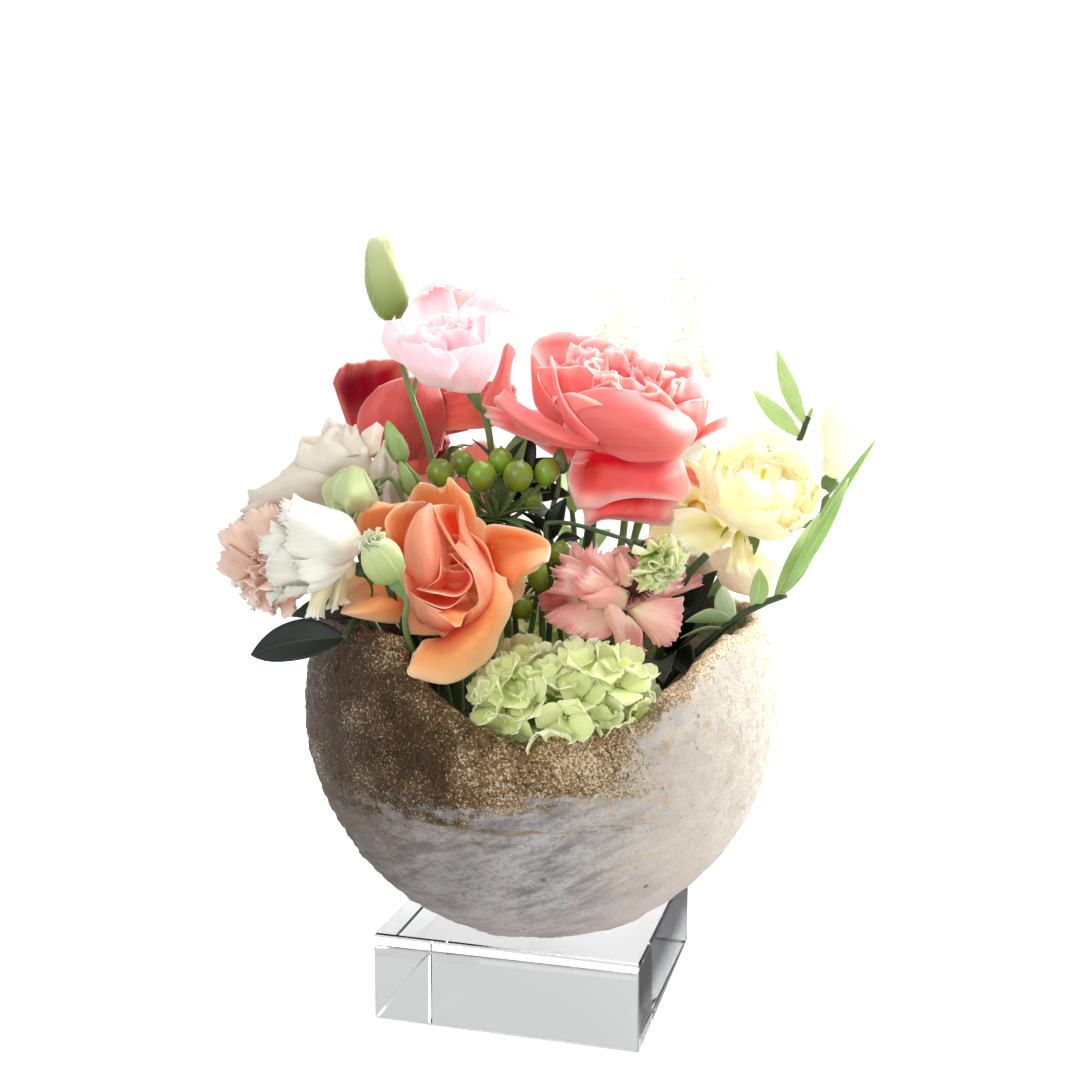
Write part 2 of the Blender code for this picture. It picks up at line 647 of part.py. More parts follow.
def berry_spray(name, berries, crown, hole, leaves, home):
    """A hypericum spray: a stem to the crown, a stalk from it to each berry, and small leaves."""
    halfway = (Vector(crown) + Vector((*hole, FOAM_TOP))) / 2
    pieces = [tube(stem_line([crown, halfway], hole), 1.4, home), ball(crown, 2.6, home)]
    for centre, radius in berries:
        pieces.append(tube([Vector(crown), Vector(centre)], 0.9, home, sides=STALK_SIDES))
        pieces.append(ball(centre, radius, home))
    for tip, width in leaves:
        pieces.append(leaf(crown, tip, width, 2, home, rows=3))
    return fuse(name, pieces, home, material("hypericum", BERRY_GREEN))


def along(line, share):
    """The point at a share of the way along a line of points."""
    place = share * (len(line) - 1)
    i = min(int(place), len(line) - 2)
    return line[i].lerp(line[i + 1], place - i)


def leafy_stem(name, points, hole, radius, leaves, colour, home):
    """A stem with leaves. Each leaf gives its share of the way down the stem, tip, width, droop, roll."""
    line = stem_line(points, hole)
    pieces = [tube(line, radius, home)]
    for share, tip, width, droop, roll in leaves:
        pieces.append(leaf(along(line, share), tip, width, droop, home, roll=roll))
    return fuse(name, pieces, home, material(name, colour))


RUSCUS_RIGHT_LEAVES = (
    (0.02, (129, -30, 227), 10, 5, 70),
    (0.04, (137, -24, 240), 8, -3, 100),
    (0.08, (117, -32, 208), 9, 3, 50),
    (0.30, (77, -51, 190), 11, 2, 90),
    (0.22, (91, -52, 192), 9, 2, 60),
)
RUSCUS_UPPER_LEAVES = (
    (0.12, (101, 26, 270), 10, 2, 90),
    (0.26, (88, 28, 254), 11, -2, 90),
    (0.05, (119, 24, 254), 9, 2, 60),
    (0.36, (72, 40, 228), 9, 2, 60),
)
SALAL_LEFT_LEAVES = (
    (0.04, (-113, -55, 153), 18, 7, 0),
    (0.12, (-78, -58, 172), 16, 3, 0),
    (0.24, (-79, 11, 170), 17, 5, 0),
)
SALAL_RIGHT_LEAVES = (
    (0.02, (66, -40, 172), 20, 3, 60),
    (0.20, (56, -66, 148), 16, 4, 20),
    (0.10, (74, -22, 170), 18, 3, 20),
)
BACK_RUSCUS_LEAVES = (
    (0.04, (6, 66, 236), 11, 2, 20),
    (0.15, (24, 68, 224), 10, 2, 40),
    (0.15, (12, 92, 212), 11, 3, 10),
    (0.40, (-4, 88, 188), 12, 4, 0),
    (0.50, (34, 84, 186), 12, 4, 0),
)


def make_tall_bud_stem(home):
    """The forked stem behind the pink bloom: the tall bud on its left arm and a small bud on its right."""
    pieces = stem_pieces(TALL_BUD_STEM, home)
    pieces.append(tube([Vector((-52, 2, 250)), Vector((-50, 4, 262)), Vector((-47, 6, 274))], 1.2, home))
    pieces.append(ball((-47, 6, 277), 4.2, home, stretch=1.5))
    return fuse("tall_bud_stem", pieces, home, material("stem", STEM_GREEN))


def make_bud_spray(home):
    """A thin branch with two closed buds, in front of the cream rose."""
    line = stem_line([(-57, -46, 236), (-52, -46, 226), (-42, -42, 206)], (-24, -30))
    second = [line[4], Vector((-54, -50, 219)), Vector((-56, -51, 225))]
    pieces = [
        tube(line, 1.3, home),
        tube(second, 1.0, home, sides=STALK_SIDES),
        ball((-58, -46, 239), 3.6, home, stretch=1.9),
        ball((-56, -51, 228), 3.0, home, stretch=1.7),
    ]
    return fuse("bud_spray", pieces, home, material("stem", STEM_GREEN))


def make_stock(name, florets, points, halfway, hole, home):
    """A white stock spike: a spine of four-lobed florets, on a green stem of its own."""
    top, foot = (Vector(point) for point in points)
    pieces = [tube([top, foot], 2.4, home)]
    for spot, azimuth, elevation, size in florets:
        pieces.append(floret(frame_of(spot, azimuth, elevation), size, 0.3, 9, home))
    fuse(f"{name}_florets", pieces, home, material("stock", WHITE))
    foot = foot - Vector((0, 0, STOCK_GAP))
    stem = tube(stem_line([foot, foot - Vector((0, 0, 14)), halfway], hole), 1.7, home)
    fuse(f"{name}_stem", [stem], home, material("stem", STEM_GREEN))


def main():
    clear_scene()
    home = collection("flower_arrangement")
    cutters = collection("cutters")
    for bloom in BLOOMS:
        make_bloom(bloom, home)
    for stem in STEMS:
        make_stem(stem, home)
    make_tall_bud_stem(home)
    make_bud_spray(home)
    eye = ball(Vector((37, -50, 181)) + facing(12, 24) * EYE_RISE, EYE_RADIUS, home, stretch=1)
    fuse("blush_lisianthus_eye", [eye], home, material("blush_eye", MAROON))
    make_hydrangea("hydrangea_florets", (13.6, -82.5, 148.8), (29, 24, 18.5), 24, home)
    upright_stem("hydrangea_stem", 13.6, -82, 133.5, 2.2, home)
    make_hydrangea("back_hydrangea_florets", (-6, 42, 149), (24, 18, 17), 16, home)
    upright_stem("back_hydrangea_stem", -6, 42, 135.1, 2.2, home)
    berry_spray("hypericum_upper", UPPER_BERRIES, (-18, -30, 203), (-8, -30),
                (((4, -40, 208), 8), ((-32, -44, 204), 7)), home)
    berry_spray("hypericum_lower", LOWER_BERRIES, (0, -38, 174), (2, -34),
                (((10, -46, 177), 6),), home)
    leafy_stem("ruscus_right", [(94, -47, 176), (80, -53, 171.5), (66, -50, 160)], (42, -42), 1.5,
               RUSCUS_RIGHT_LEAVES, LEAF_GREEN, home)
    leafy_stem("ruscus_upper", [(110, 18, 242), (102, 22, 226), (80, 40, 208), (60, 40, 184)], (42, 38), 1.4,
               RUSCUS_UPPER_LEAVES, LEAF_GREEN, home)
    leafy_stem("salal_left", [(-58, -30, 173), (-54, -20, 164)], (-44, -8), 1.6,
               SALAL_LEFT_LEAVES, DARK_GREEN, home)
    leafy_stem("salal_right", [(52, -30, 151), (49, -29, 144)], (46, -28), 1.6,
               SALAL_RIGHT_LEAVES, DARK_GREEN, home)
    leafy_stem("back_ruscus", [(14, 68, 202), (16, 58, 180)], (18, 44), 1.4,
               BACK_RUSCUS_LEAVES, LEAF_GREEN, home)
    make_stock("stock_left", (
        ((31, 44, 290), -40, 10, 12), ((41, 43, 280), 40, 5, 11), ((36, 58, 282), 170, 10, 12),
    ), [(36, 50, 294), (36, 49, 268)], (36, 28, 190), (16, 14), home)
    make_stock("stock_right", (
        ((64, 42, 302), -20, 20, 12), ((72, 50, 290), 90, 15, 12), ((62, 41, 276), -30, 10, 14),
        ((75, 43, 270), 50, 0, 12), ((66, 57, 286), 200, 10, 13),
    ), [(66, 48, 308), (67, 47, 262)], (44, 28, 198), (26, 20), home)
    holes = [(*stem.hole, stem.radius) for stem in (*STEMS, TALL_BUD_STEM)]
    holes += [(-24, -30, 1.3), (13.6, -82, 2.2), (-6, 42, 2.2), (-8, -30, 1.4), (2, -34, 1.4),
              (42, -42, 1.5), (42, 38, 1.4), (-44, -8, 1.6), (46, -28, 1.6), (18, 44, 1.4),
              (16, 14, 1.7), (26, 20, 1.7)]
    make_foam(home, cutters, holes)
    make_bowl(home)
    make_block(home)


main()
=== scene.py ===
"""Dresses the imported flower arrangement: its blooms, leaves, berries, gilded bowl and clear block.

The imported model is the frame: +Z is up, -Y is the front and +X is the viewer's right. Forms are
worked out in millimetres, and turned into metres when a mesh is made. Angles are in degrees: an
azimuth is 0 to the front and 90 to the right, and a clock angle inside a bloom is 0 upwards and 90
to the viewer's right.
"""

import logging
import math
import random
from collections.abc import Iterable, Sequence
from dataclasses import dataclass, replace
from enum import Enum

import bpy
import numpy as np
from mathutils import Matrix, Vector, noise


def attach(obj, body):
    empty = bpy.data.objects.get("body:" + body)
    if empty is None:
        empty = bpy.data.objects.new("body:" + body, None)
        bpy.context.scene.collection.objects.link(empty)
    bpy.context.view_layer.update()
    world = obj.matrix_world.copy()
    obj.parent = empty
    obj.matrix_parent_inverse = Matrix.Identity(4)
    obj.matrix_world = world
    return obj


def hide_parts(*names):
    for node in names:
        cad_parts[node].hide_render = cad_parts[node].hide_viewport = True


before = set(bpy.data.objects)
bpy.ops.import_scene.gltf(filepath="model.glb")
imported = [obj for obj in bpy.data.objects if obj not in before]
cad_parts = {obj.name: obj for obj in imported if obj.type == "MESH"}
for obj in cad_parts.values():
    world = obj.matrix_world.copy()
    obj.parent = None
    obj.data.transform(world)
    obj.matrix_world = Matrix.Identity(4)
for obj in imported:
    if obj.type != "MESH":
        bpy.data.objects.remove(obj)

LOG = logging.getLogger("arrangement")
MM = 0.001
GOLDEN_TURN = 137.5
Colour = tuple[float, float, float]
Triple = tuple[float, float, float]
Pair = tuple[float, float]
Socket = bpy.types.NodeSocket


def paint(red: int, green: int, blue: int) -> Colour:
    """Turns a colour-chart value, 0 to 255 a channel, into the linear values that shaders read."""
    return ((red / 255) ** 2.2, (green / 255) ** 2.2, (blue / 255) ** 2.2)


def facing(azimuth: float, elevation: float) -> Vector:
    """Returns the unit vector towards an azimuth and an elevation."""
    a = math.radians(azimuth)
    e = math.radians(elevation)
    return Vector((math.sin(a) * math.cos(e), -math.cos(a) * math.cos(e), math.sin(e)))


def smooth(value: np.ndarray, low: float, high: float) -> np.ndarray:
    """Rises smoothly from 0 at low to 1 at high."""
    share = np.clip((value - low) / (high - low), 0, 1)
    return share * share * (3 - 2 * share)


@dataclass(frozen=True)
class Seat:
    """Where a bloom stands and the way that it faces."""

    base: Triple
    azimuth: float
    elevation: float

    def matrix(self) -> Matrix:
        """Returns the matrix that stands local +Z on the base, with local +X uppermost."""
        axis = facing(self.azimuth, self.elevation)
        up = Vector((0, 0, 1)) - axis * axis.z
        up.normalize()
        turn = Matrix((up, axis.cross(up), axis)).transposed().to_4x4()
        return Matrix.Translation(Vector(self.base)) @ turn

    def carry(self, points: np.ndarray) -> np.ndarray:
        """Moves points from the bloom's own frame to the arrangement's."""
        matrix = np.array(self.matrix())
        return points @ matrix[:3, :3].T + matrix[:3, 3]


class Wiring:
    """A node tree that is being wired, in materials and in Geometry Nodes alike."""

    def __init__(self, tree: bpy.types.NodeTree) -> None:
        """Keeps the tree."""
        self.tree = tree

    def node(self, kind: str, **settings: object) -> bpy.types.Node:
        """Adds a node of a kind, with its settings."""
        made = self.tree.nodes.new(kind)
        for name, value in settings.items():
            setattr(made, name, value)
        return made

    def feed(self, socket: Socket, value: object) -> None:
        """Links a socket to an input, or sets the input's value.

        Args:
            socket: The input.
            value: An output socket, a number, a colour of three numbers, or None to leave it.
        """
        if isinstance(value, Socket):
            self.tree.links.new(value, socket)
        elif isinstance(value, tuple) and len(value) == 3 and socket.type == "RGBA":
            socket.default_value = (*value, 1.0)
        elif value is not None:
            socket.default_value = value

    def fill(self, node: bpy.types.Node, **values: object) -> bpy.types.Node:
        """Feeds a node's inputs by name, where _ stands for a space, and returns the node."""
        for name, value in values.items():
            self.feed(node.inputs[name.replace("_", " ")], value)
        return node

    def line_up(self, node: bpy.types.Node, *values: object) -> Socket:
        """Feeds a node's inputs in their order, and returns its first output."""
        for socket, value in zip(node.inputs, values):
            self.feed(socket, value)
        return node.outputs[0]

    def math(self, operation: str, *values: object, clamp: bool = False) -> Socket:
        """Adds a Math node and returns its result."""
        return self.line_up(self.node("ShaderNodeMath", operation=operation, use_clamp=clamp), *values)

    def add(self, first: object, *others: object) -> Socket:
        """Adds numbers up, from left to right."""
        for other in others:
            first = self.math("ADD", first, other)
        return first

    def minus(self, first: object, second: object) -> Socket:
        """Takes the second number from the first."""
        return self.math("SUBTRACT", first, second)

    def times(self, first: object, second: object) -> Socket:
        """Multiplies two numbers."""
        return self.math("MULTIPLY", first, second)

    def swing(self, value: Socket, size: object) -> Socket:
        """Turns a value of 0 to 1 into a swing of a size about zero."""
        return self.times(self.minus(value, 0.5), size)

    def mix(self, factor: object, first: object, second: object) -> Socket:
        """Mixes two colours by a factor."""
        made = self.node("ShaderNodeMix", data_type="RGBA")
        for place, value in ((0, factor), (6, first), (7, second)):
            self.feed(made.inputs[place], value)
        return made.outputs[2]

    def rise(self, value: object, low: float, high: float, top: float = 1.0) -> Socket:
        """Rises smoothly from 0 at low to top at high."""
        made = self.node("ShaderNodeMapRange", interpolation_type="SMOOTHSTEP")
        return self.line_up(made, value, low, high, 0.0, top)

    def vector(self, x: object, y: object, z: object) -> Socket:
        """Joins three numbers into a vector."""
        return self.line_up(self.node("ShaderNodeCombineXYZ"), x, y, z)

    def split(self, vector: Socket) -> Sequence[Socket]:
        """Splits a vector into its three numbers."""
        made = self.node("ShaderNodeSeparateXYZ")
        self.feed(made.inputs[0], vector)
        return made.outputs

    def stretch(self, vector: Socket, factors: Triple) -> Socket:
        """Multiplies a vector by three factors."""
        return self.line_up(self.node("ShaderNodeVectorMath", operation="MULTIPLY"), vector, factors)

    def noise(self, vector: Socket, scale: object, detail: float = 3.0, rough: float = 0.55) -> Socket:
        """Adds a noise texture and returns its value, 0 to 1."""
        made = self.node("ShaderNodeTexNoise")
        return self.fill(made, Vector=vector, Scale=scale, Detail=detail, Roughness=rough).outputs[0]

    def cells(self, vector: Socket, scale: float) -> Socket:
        """Adds a Voronoi texture and returns its distance."""
        return self.fill(self.node("ShaderNodeTexVoronoi"), Vector=vector, Scale=scale).outputs["Distance"]

    def attribute(self, name: str) -> Socket:
        """Reads a vector attribute of the mesh in a material."""
        return self.node("ShaderNodeAttribute", attribute_name=name).outputs["Vector"]

    def kept(self, name: str, kind: str) -> Socket:
        """Reads a named attribute of a kind in Geometry Nodes."""
        return self.fill(self.node("GeometryNodeInputNamedAttribute", data_type=kind), Name=name).outputs[0]

    def place(self) -> Socket:
        """Reads Object coordinates."""
        return self.node("ShaderNodeTexCoord").outputs["Object"]

    def bump(self, height: Socket, strength: float, distance: float) -> Socket:
        """Adds a Bump node and returns its normal."""
        made = self.node("ShaderNodeBump")
        return self.fill(made, Height=height, Strength=strength, Distance=distance).outputs[0]

    def shade(self, **values: object) -> Socket:
        """Adds a Hue/Saturation/Value node and returns its colour."""
        return self.fill(self.node("ShaderNodeHueSaturation"), **values).outputs[0]

    def use(self, group: bpy.types.NodeTree, **values: object) -> Sequence[Socket]:
        """Places a node group with values for its named inputs, and returns its outputs."""
        return self.fill(self.node("ShaderNodeGroup", node_tree=group), **values).outputs


class Effect(Enum):
    """The shader effects that several materials share, each made once as a node group."""

    MOTTLE = "mottle"
    VEINED_PETAL = "veined_petal"
    RIBBED_LEAF = "ribbed_leaf"

    def group(self) -> bpy.types.NodeTree:
        """Returns the effect's node group, and builds it the first time."""
        made = bpy.data.node_groups.get(self.value)
        if made:
            return made
        made = bpy.data.node_groups.new(self.value, "ShaderNodeTree")
        builders = {
            Effect.MOTTLE: build_mottle,
            Effect.VEINED_PETAL: build_veined_petal,
            Effect.RIBBED_LEAF: build_ribbed_leaf,
        }
        builders[self](Wiring(made))
        return made


def open_sockets(board: Wiring, inputs: dict[str, object], outputs: dict[str, str]) -> tuple:
    """Gives a group its named sockets.

    Args:
        board: The group's wiring.
        inputs: Each input's name and its default, a number or a colour of three numbers.
        outputs: Each output's name and its socket type.

    Returns:
        The group's input sockets by name and its output node.
    """
    face = board.tree.interface
    for name, default in inputs.items():
        kind = "NodeSocketColor" if isinstance(default, tuple) else "NodeSocketFloat"
        socket = face.new_socket(name, in_out="INPUT", socket_type=kind)
        socket.default_value = (*default, 1.0) if isinstance(default, tuple) else default
    for name, kind in outputs.items():
        face.new_socket(name, in_out="OUTPUT", socket_type=kind)
    return board.node("NodeGroupInput").outputs, board.node("NodeGroupOutput")


def build_mottle(board: Wiring) -> None:
    """Uneven colour over a surface: soft patches, and a fine grain that also gives a height."""
    given, result = open_sockets(
        board,
        {
            "Colour": (0.5, 0.5, 0.5), "Patches": 0.2, "Patch Scale": 60.0, "Grain": 0.1,
            "Grain Scale": 900.0,
        },
        {"Colour": "NodeSocketColor", "Height": "NodeSocketFloat"},
    )
    spot = board.place()
    grain = board.noise(spot, given["Grain Scale"])
    patch = board.swing(board.noise(spot, given["Patch Scale"], 2.0), given["Patches"])
    shaded = board.shade(
        Hue=board.add(0.5, board.times(patch, 0.1)),
        Value=board.add(1.0, board.times(patch, 2.4), board.swing(grain, given["Grain"])),
        Color=given["Colour"],
    )
    board.fill(result, Colour=shaded, Height=grain)


def build_veined_petal(board: Wiring) -> None:
    """A petal's colour from root to margin, from heart to outermost whorl, and its fan of veins."""
    given, result = open_sockets(
        board,
        {
            "Heart": (0.5, 0.1, 0.1), "Root": (0.8, 0.8, 0.5), "Body": (0.9, 0.5, 0.4),
            "Margin": (0.9, 0.6, 0.5), "Back": (0.9, 0.5, 0.4), "Odd": (0.9, 0.5, 0.4), "Oddness": 0.0,
            "Vein": 0.15, "Root Reach": 0.35,
        },
        {"Colour": "NodeSocketColor", "Height": "NodeSocketFloat"},
    )
    across, along, whorl = board.split(board.attribute("spot"))
    tone, side, _ = board.split(board.attribute("mark"))
    edge = board.math("MAXIMUM", board.math("ABSOLUTE", across), along)
    drift = board.swing(board.noise(board.place(), 75.0, 1.0), 1.6)
    oddness = board.times(board.rise(board.add(tone, drift), 0.35, 0.9), given["Oddness"])
    own = board.mix(oddness, given["Body"], given["Odd"])
    body = board.mix(board.rise(whorl, 0.0, 0.75), given["Heart"], own)
    up_root = board.math("DIVIDE", along, given["Root Reach"])
    rooted = board.mix(board.rise(up_root, 0.1, 1.0), given["Root"], body)
    rimmed = board.mix(board.rise(edge, 0.6, 1.0, 0.85), rooted, given["Margin"])
    backed = board.mix(board.times(side, 0.8), rimmed, given["Back"])
    # A thin painted highlight along the very edge of the petal.
    pale = board.mix(0.35, given["Margin"], (1.0, 1.0, 1.0))
    backed = board.mix(board.rise(edge, 0.955, 0.995, 0.6), backed, pale)
    fan = board.vector(board.times(across, 24.0), board.times(along, 1.6), board.times(tone, 37.0))
    wide = board.vector(board.times(across, 3.0), board.times(along, 2.2), board.times(tone, 53.0))
    veins = board.noise(fan, 1.0, 4.0, 0.65)
    blotch = board.swing(board.noise(wide, 1.0, 2.0), 0.22)
    veined = board.add(1.0, board.swing(veins, given["Vein"]))
    shaded = board.shade(
        Value=board.add(veined, board.add(board.swing(tone, 0.12), blotch)),
        Saturation=board.minus(1.05, blotch),
        Color=backed,
    )
    board.fill(result, Colour=shaded, Height=veins)


def build_ribbed_leaf(board: Wiring) -> None:
    """A leaf's midrib and side veins, with a paler back."""
    given, result = open_sockets(
        board,
        {"Blade": (0.1, 0.3, 0.05), "Rib": (0.3, 0.5, 0.2), "Back": (0.3, 0.5, 0.2), "Side Veins": 18.0},
        {"Colour": "NodeSocketColor", "Height": "NodeSocketFloat"},
    )
    across, along, _ = board.split(board.attribute("spot"))
    tone, side, _ = board.split(board.attribute("mark"))
    off = board.math("ABSOLUTE", across)
    rib = board.minus(1.0, board.rise(off, 0.02, 0.09))
    slant = board.minus(board.times(along, given["Side Veins"]), board.times(off, 3.0))
    wave = board.math("ABSOLUTE", board.math("SINE", board.times(slant, math.pi)))
    vein = board.minus(1.0, board.rise(wave, 0.0, 0.22))
    line = board.math("MAXIMUM", rib, board.times(vein, 0.35))
    face = board.mix(board.times(side, 0.8), given["Blade"], given["Back"])
    lined = board.mix(board.times(line, 0.6), face, given["Rib"])
    patch = board.noise(board.place(), 90.0)
    light = board.add(0.92, board.swing(patch, 0.5), board.times(tone, 0.16))
    board.fill(result, Colour=board.shade(Value=light, Color=lined), Height=board.minus(patch, line))


class Finish:
    """A material that is made once, the first time that a piece asks for it."""

    name: str

    def wire(self, board: Wiring, shader: bpy.types.Node) -> None:
        """Wires the finish to its Principled shader."""
        raise NotImplementedError

    def material(self) -> bpy.types.Material:
        """Returns the finish's material."""
        made = bpy.data.materials.get(self.name)
        if made:
            return made
        made = bpy.data.materials.new(self.name)
        made.use_nodes = True
        self.wire(Wiring(made.node_tree), made.node_tree.nodes["Principled BSDF"])
        return made


@dataclass(frozen=True)
class PetalFinish(Finish):
    """Petal skin, from the heart of a bloom to its outermost whorl."""

    name: str
    heart: Colour
    root: Colour
    body: Colour
    margin: Colour
    back: Colour
    odd: Colour = (1.0, 1.0, 1.0)
    oddness: float = 0.0
    vein: float = 0.2
    root_reach: float = 0.35
    roughness: float = 0.5
    glow: float = 0.35
    # Strength of a painted glow in the petal's own colour: the petal shines by itself.
    painted_glow: float = 0.05

    def wire(self, board: Wiring, shader: bpy.types.Node) -> None:
        """Wires the veined colour, a soft surface, the light that comes through the petal and a painted
        glow.
        """
        colour, veins = board.use(
            Effect.VEINED_PETAL.group(), Heart=self.heart, Root=self.root, Body=self.body,
            Margin=self.margin, Back=self.back, Odd=self.odd, Oddness=self.oddness, Vein=self.vein,
            Root_Reach=self.root_reach,
        )
        # The emission is a painted glow in the petal's own colour, not light from a lamp.
        board.fill(
            shader, Base_Color=colour, Emission_Color=colour, Normal=board.bump(veins, 0.35, 0.0006),
            Emission_Strength=self.painted_glow, Roughness=self.roughness, Subsurface_Weight=self.glow,
            Subsurface_Radius=(1.0, 0.6, 0.45), Subsurface_Scale=0.004, Sheen_Weight=0.12,
            Specular_IOR_Level=0.35,
        )


GREEN_DEPTHS = (0.5, 1.0, 0.3)


@dataclass(frozen=True)
class LeafFinish(Finish):
    """A leaf's two faces, ribs and gloss."""

    name: str
    blade: Colour
    rib: Colour
    back: Colour
    side_veins: float = 18.0
    roughness: float = 0.4
    glow: float = 0.1

    def wire(self, board: Wiring, shader: bpy.types.Node) -> None:
        """Wires the ribbed colour and its raised ribs."""
        colour, ribs = board.use(
            Effect.RIBBED_LEAF.group(), Blade=self.blade, Rib=self.rib, Back=self.back,
            Side_Veins=self.side_veins,
        )
        board.fill(
            shader, Base_Color=colour, Normal=board.bump(ribs, 0.4, 0.0005), Roughness=self.roughness,
            Subsurface_Weight=self.glow, Subsurface_Radius=GREEN_DEPTHS, Subsurface_Scale=0.003,
        )


@dataclass(frozen=True)
class PlantFinish(Finish):
    """Green skin of stems, calyxes, berries and foam: one mottled colour."""

    name: str
    colour: Colour
    patches: float = 0.3
    grain: float = 0.15
    grain_scale: float = 1200.0
    roughness: float = 0.45
    coat: float = 0.0
    depth: float = 0.0002
    glow: float = 0.05

    def wire(self, board: Wiring, shader: bpy.types.Node) -> None:
        """Wires the mottled colour and its grain."""
        colour, grain = board.use(
            Effect.MOTTLE.group(), Colour=self.colour, Patches=self.patches, Patch_Scale=70.0,
            Grain=self.grain, Grain_Scale=self.grain_scale,
        )
        board.fill(
            shader, Base_Color=colour, Normal=board.bump(grain, 0.5, self.depth), Roughness=self.roughness,
            Coat_Weight=self.coat, Subsurface_Weight=self.glow, Subsurface_Radius=GREEN_DEPTHS,
            Subsurface_Scale=0.002,
        )


@dataclass(frozen=True)
class AcrylicFinish(Finish):
    """Clear polished acrylic."""

    name: str = "clear_acrylic_finish"
    clear: Colour = (0.97, 0.98, 0.985)
    # A painted dark reflection on the block's right side.
    painted_dark_reflection: Colour = (0.012, 0.012, 0.014)
    right_way: Pair = (0.963, -0.271)
    right_side: float = 0.0535

    def wire(self, board: Wiring, shader: bpy.types.Node) -> None:
        """Sets a clear body with a painted dark reflection on its right side, and faint wipe marks in its
        roughness.
        """
        x, y, z = board.split(board.place())
        across = board.add(board.times(x, self.right_way[0]), board.times(y, self.right_way[1]))
        side = board.rise(across, self.right_side, self.right_side + 0.001)
        # Painted dark reflection: the right side darkens towards its top.
        painted_reflection_mask = board.times(side, board.rise(z, -0.02, 0.024))
        wipes = board.noise(board.stretch(board.place(), (30.0, 90.0, 60.0)), 1.0, 4.0)
        board.fill(
            shader, Base_Color=board.mix(painted_reflection_mask, self.clear, self.painted_dark_reflection), Transmission_Weight=1.0,
            IOR=1.49, Roughness=board.rise(wipes, 0.45, 0.9, 0.05),
        )


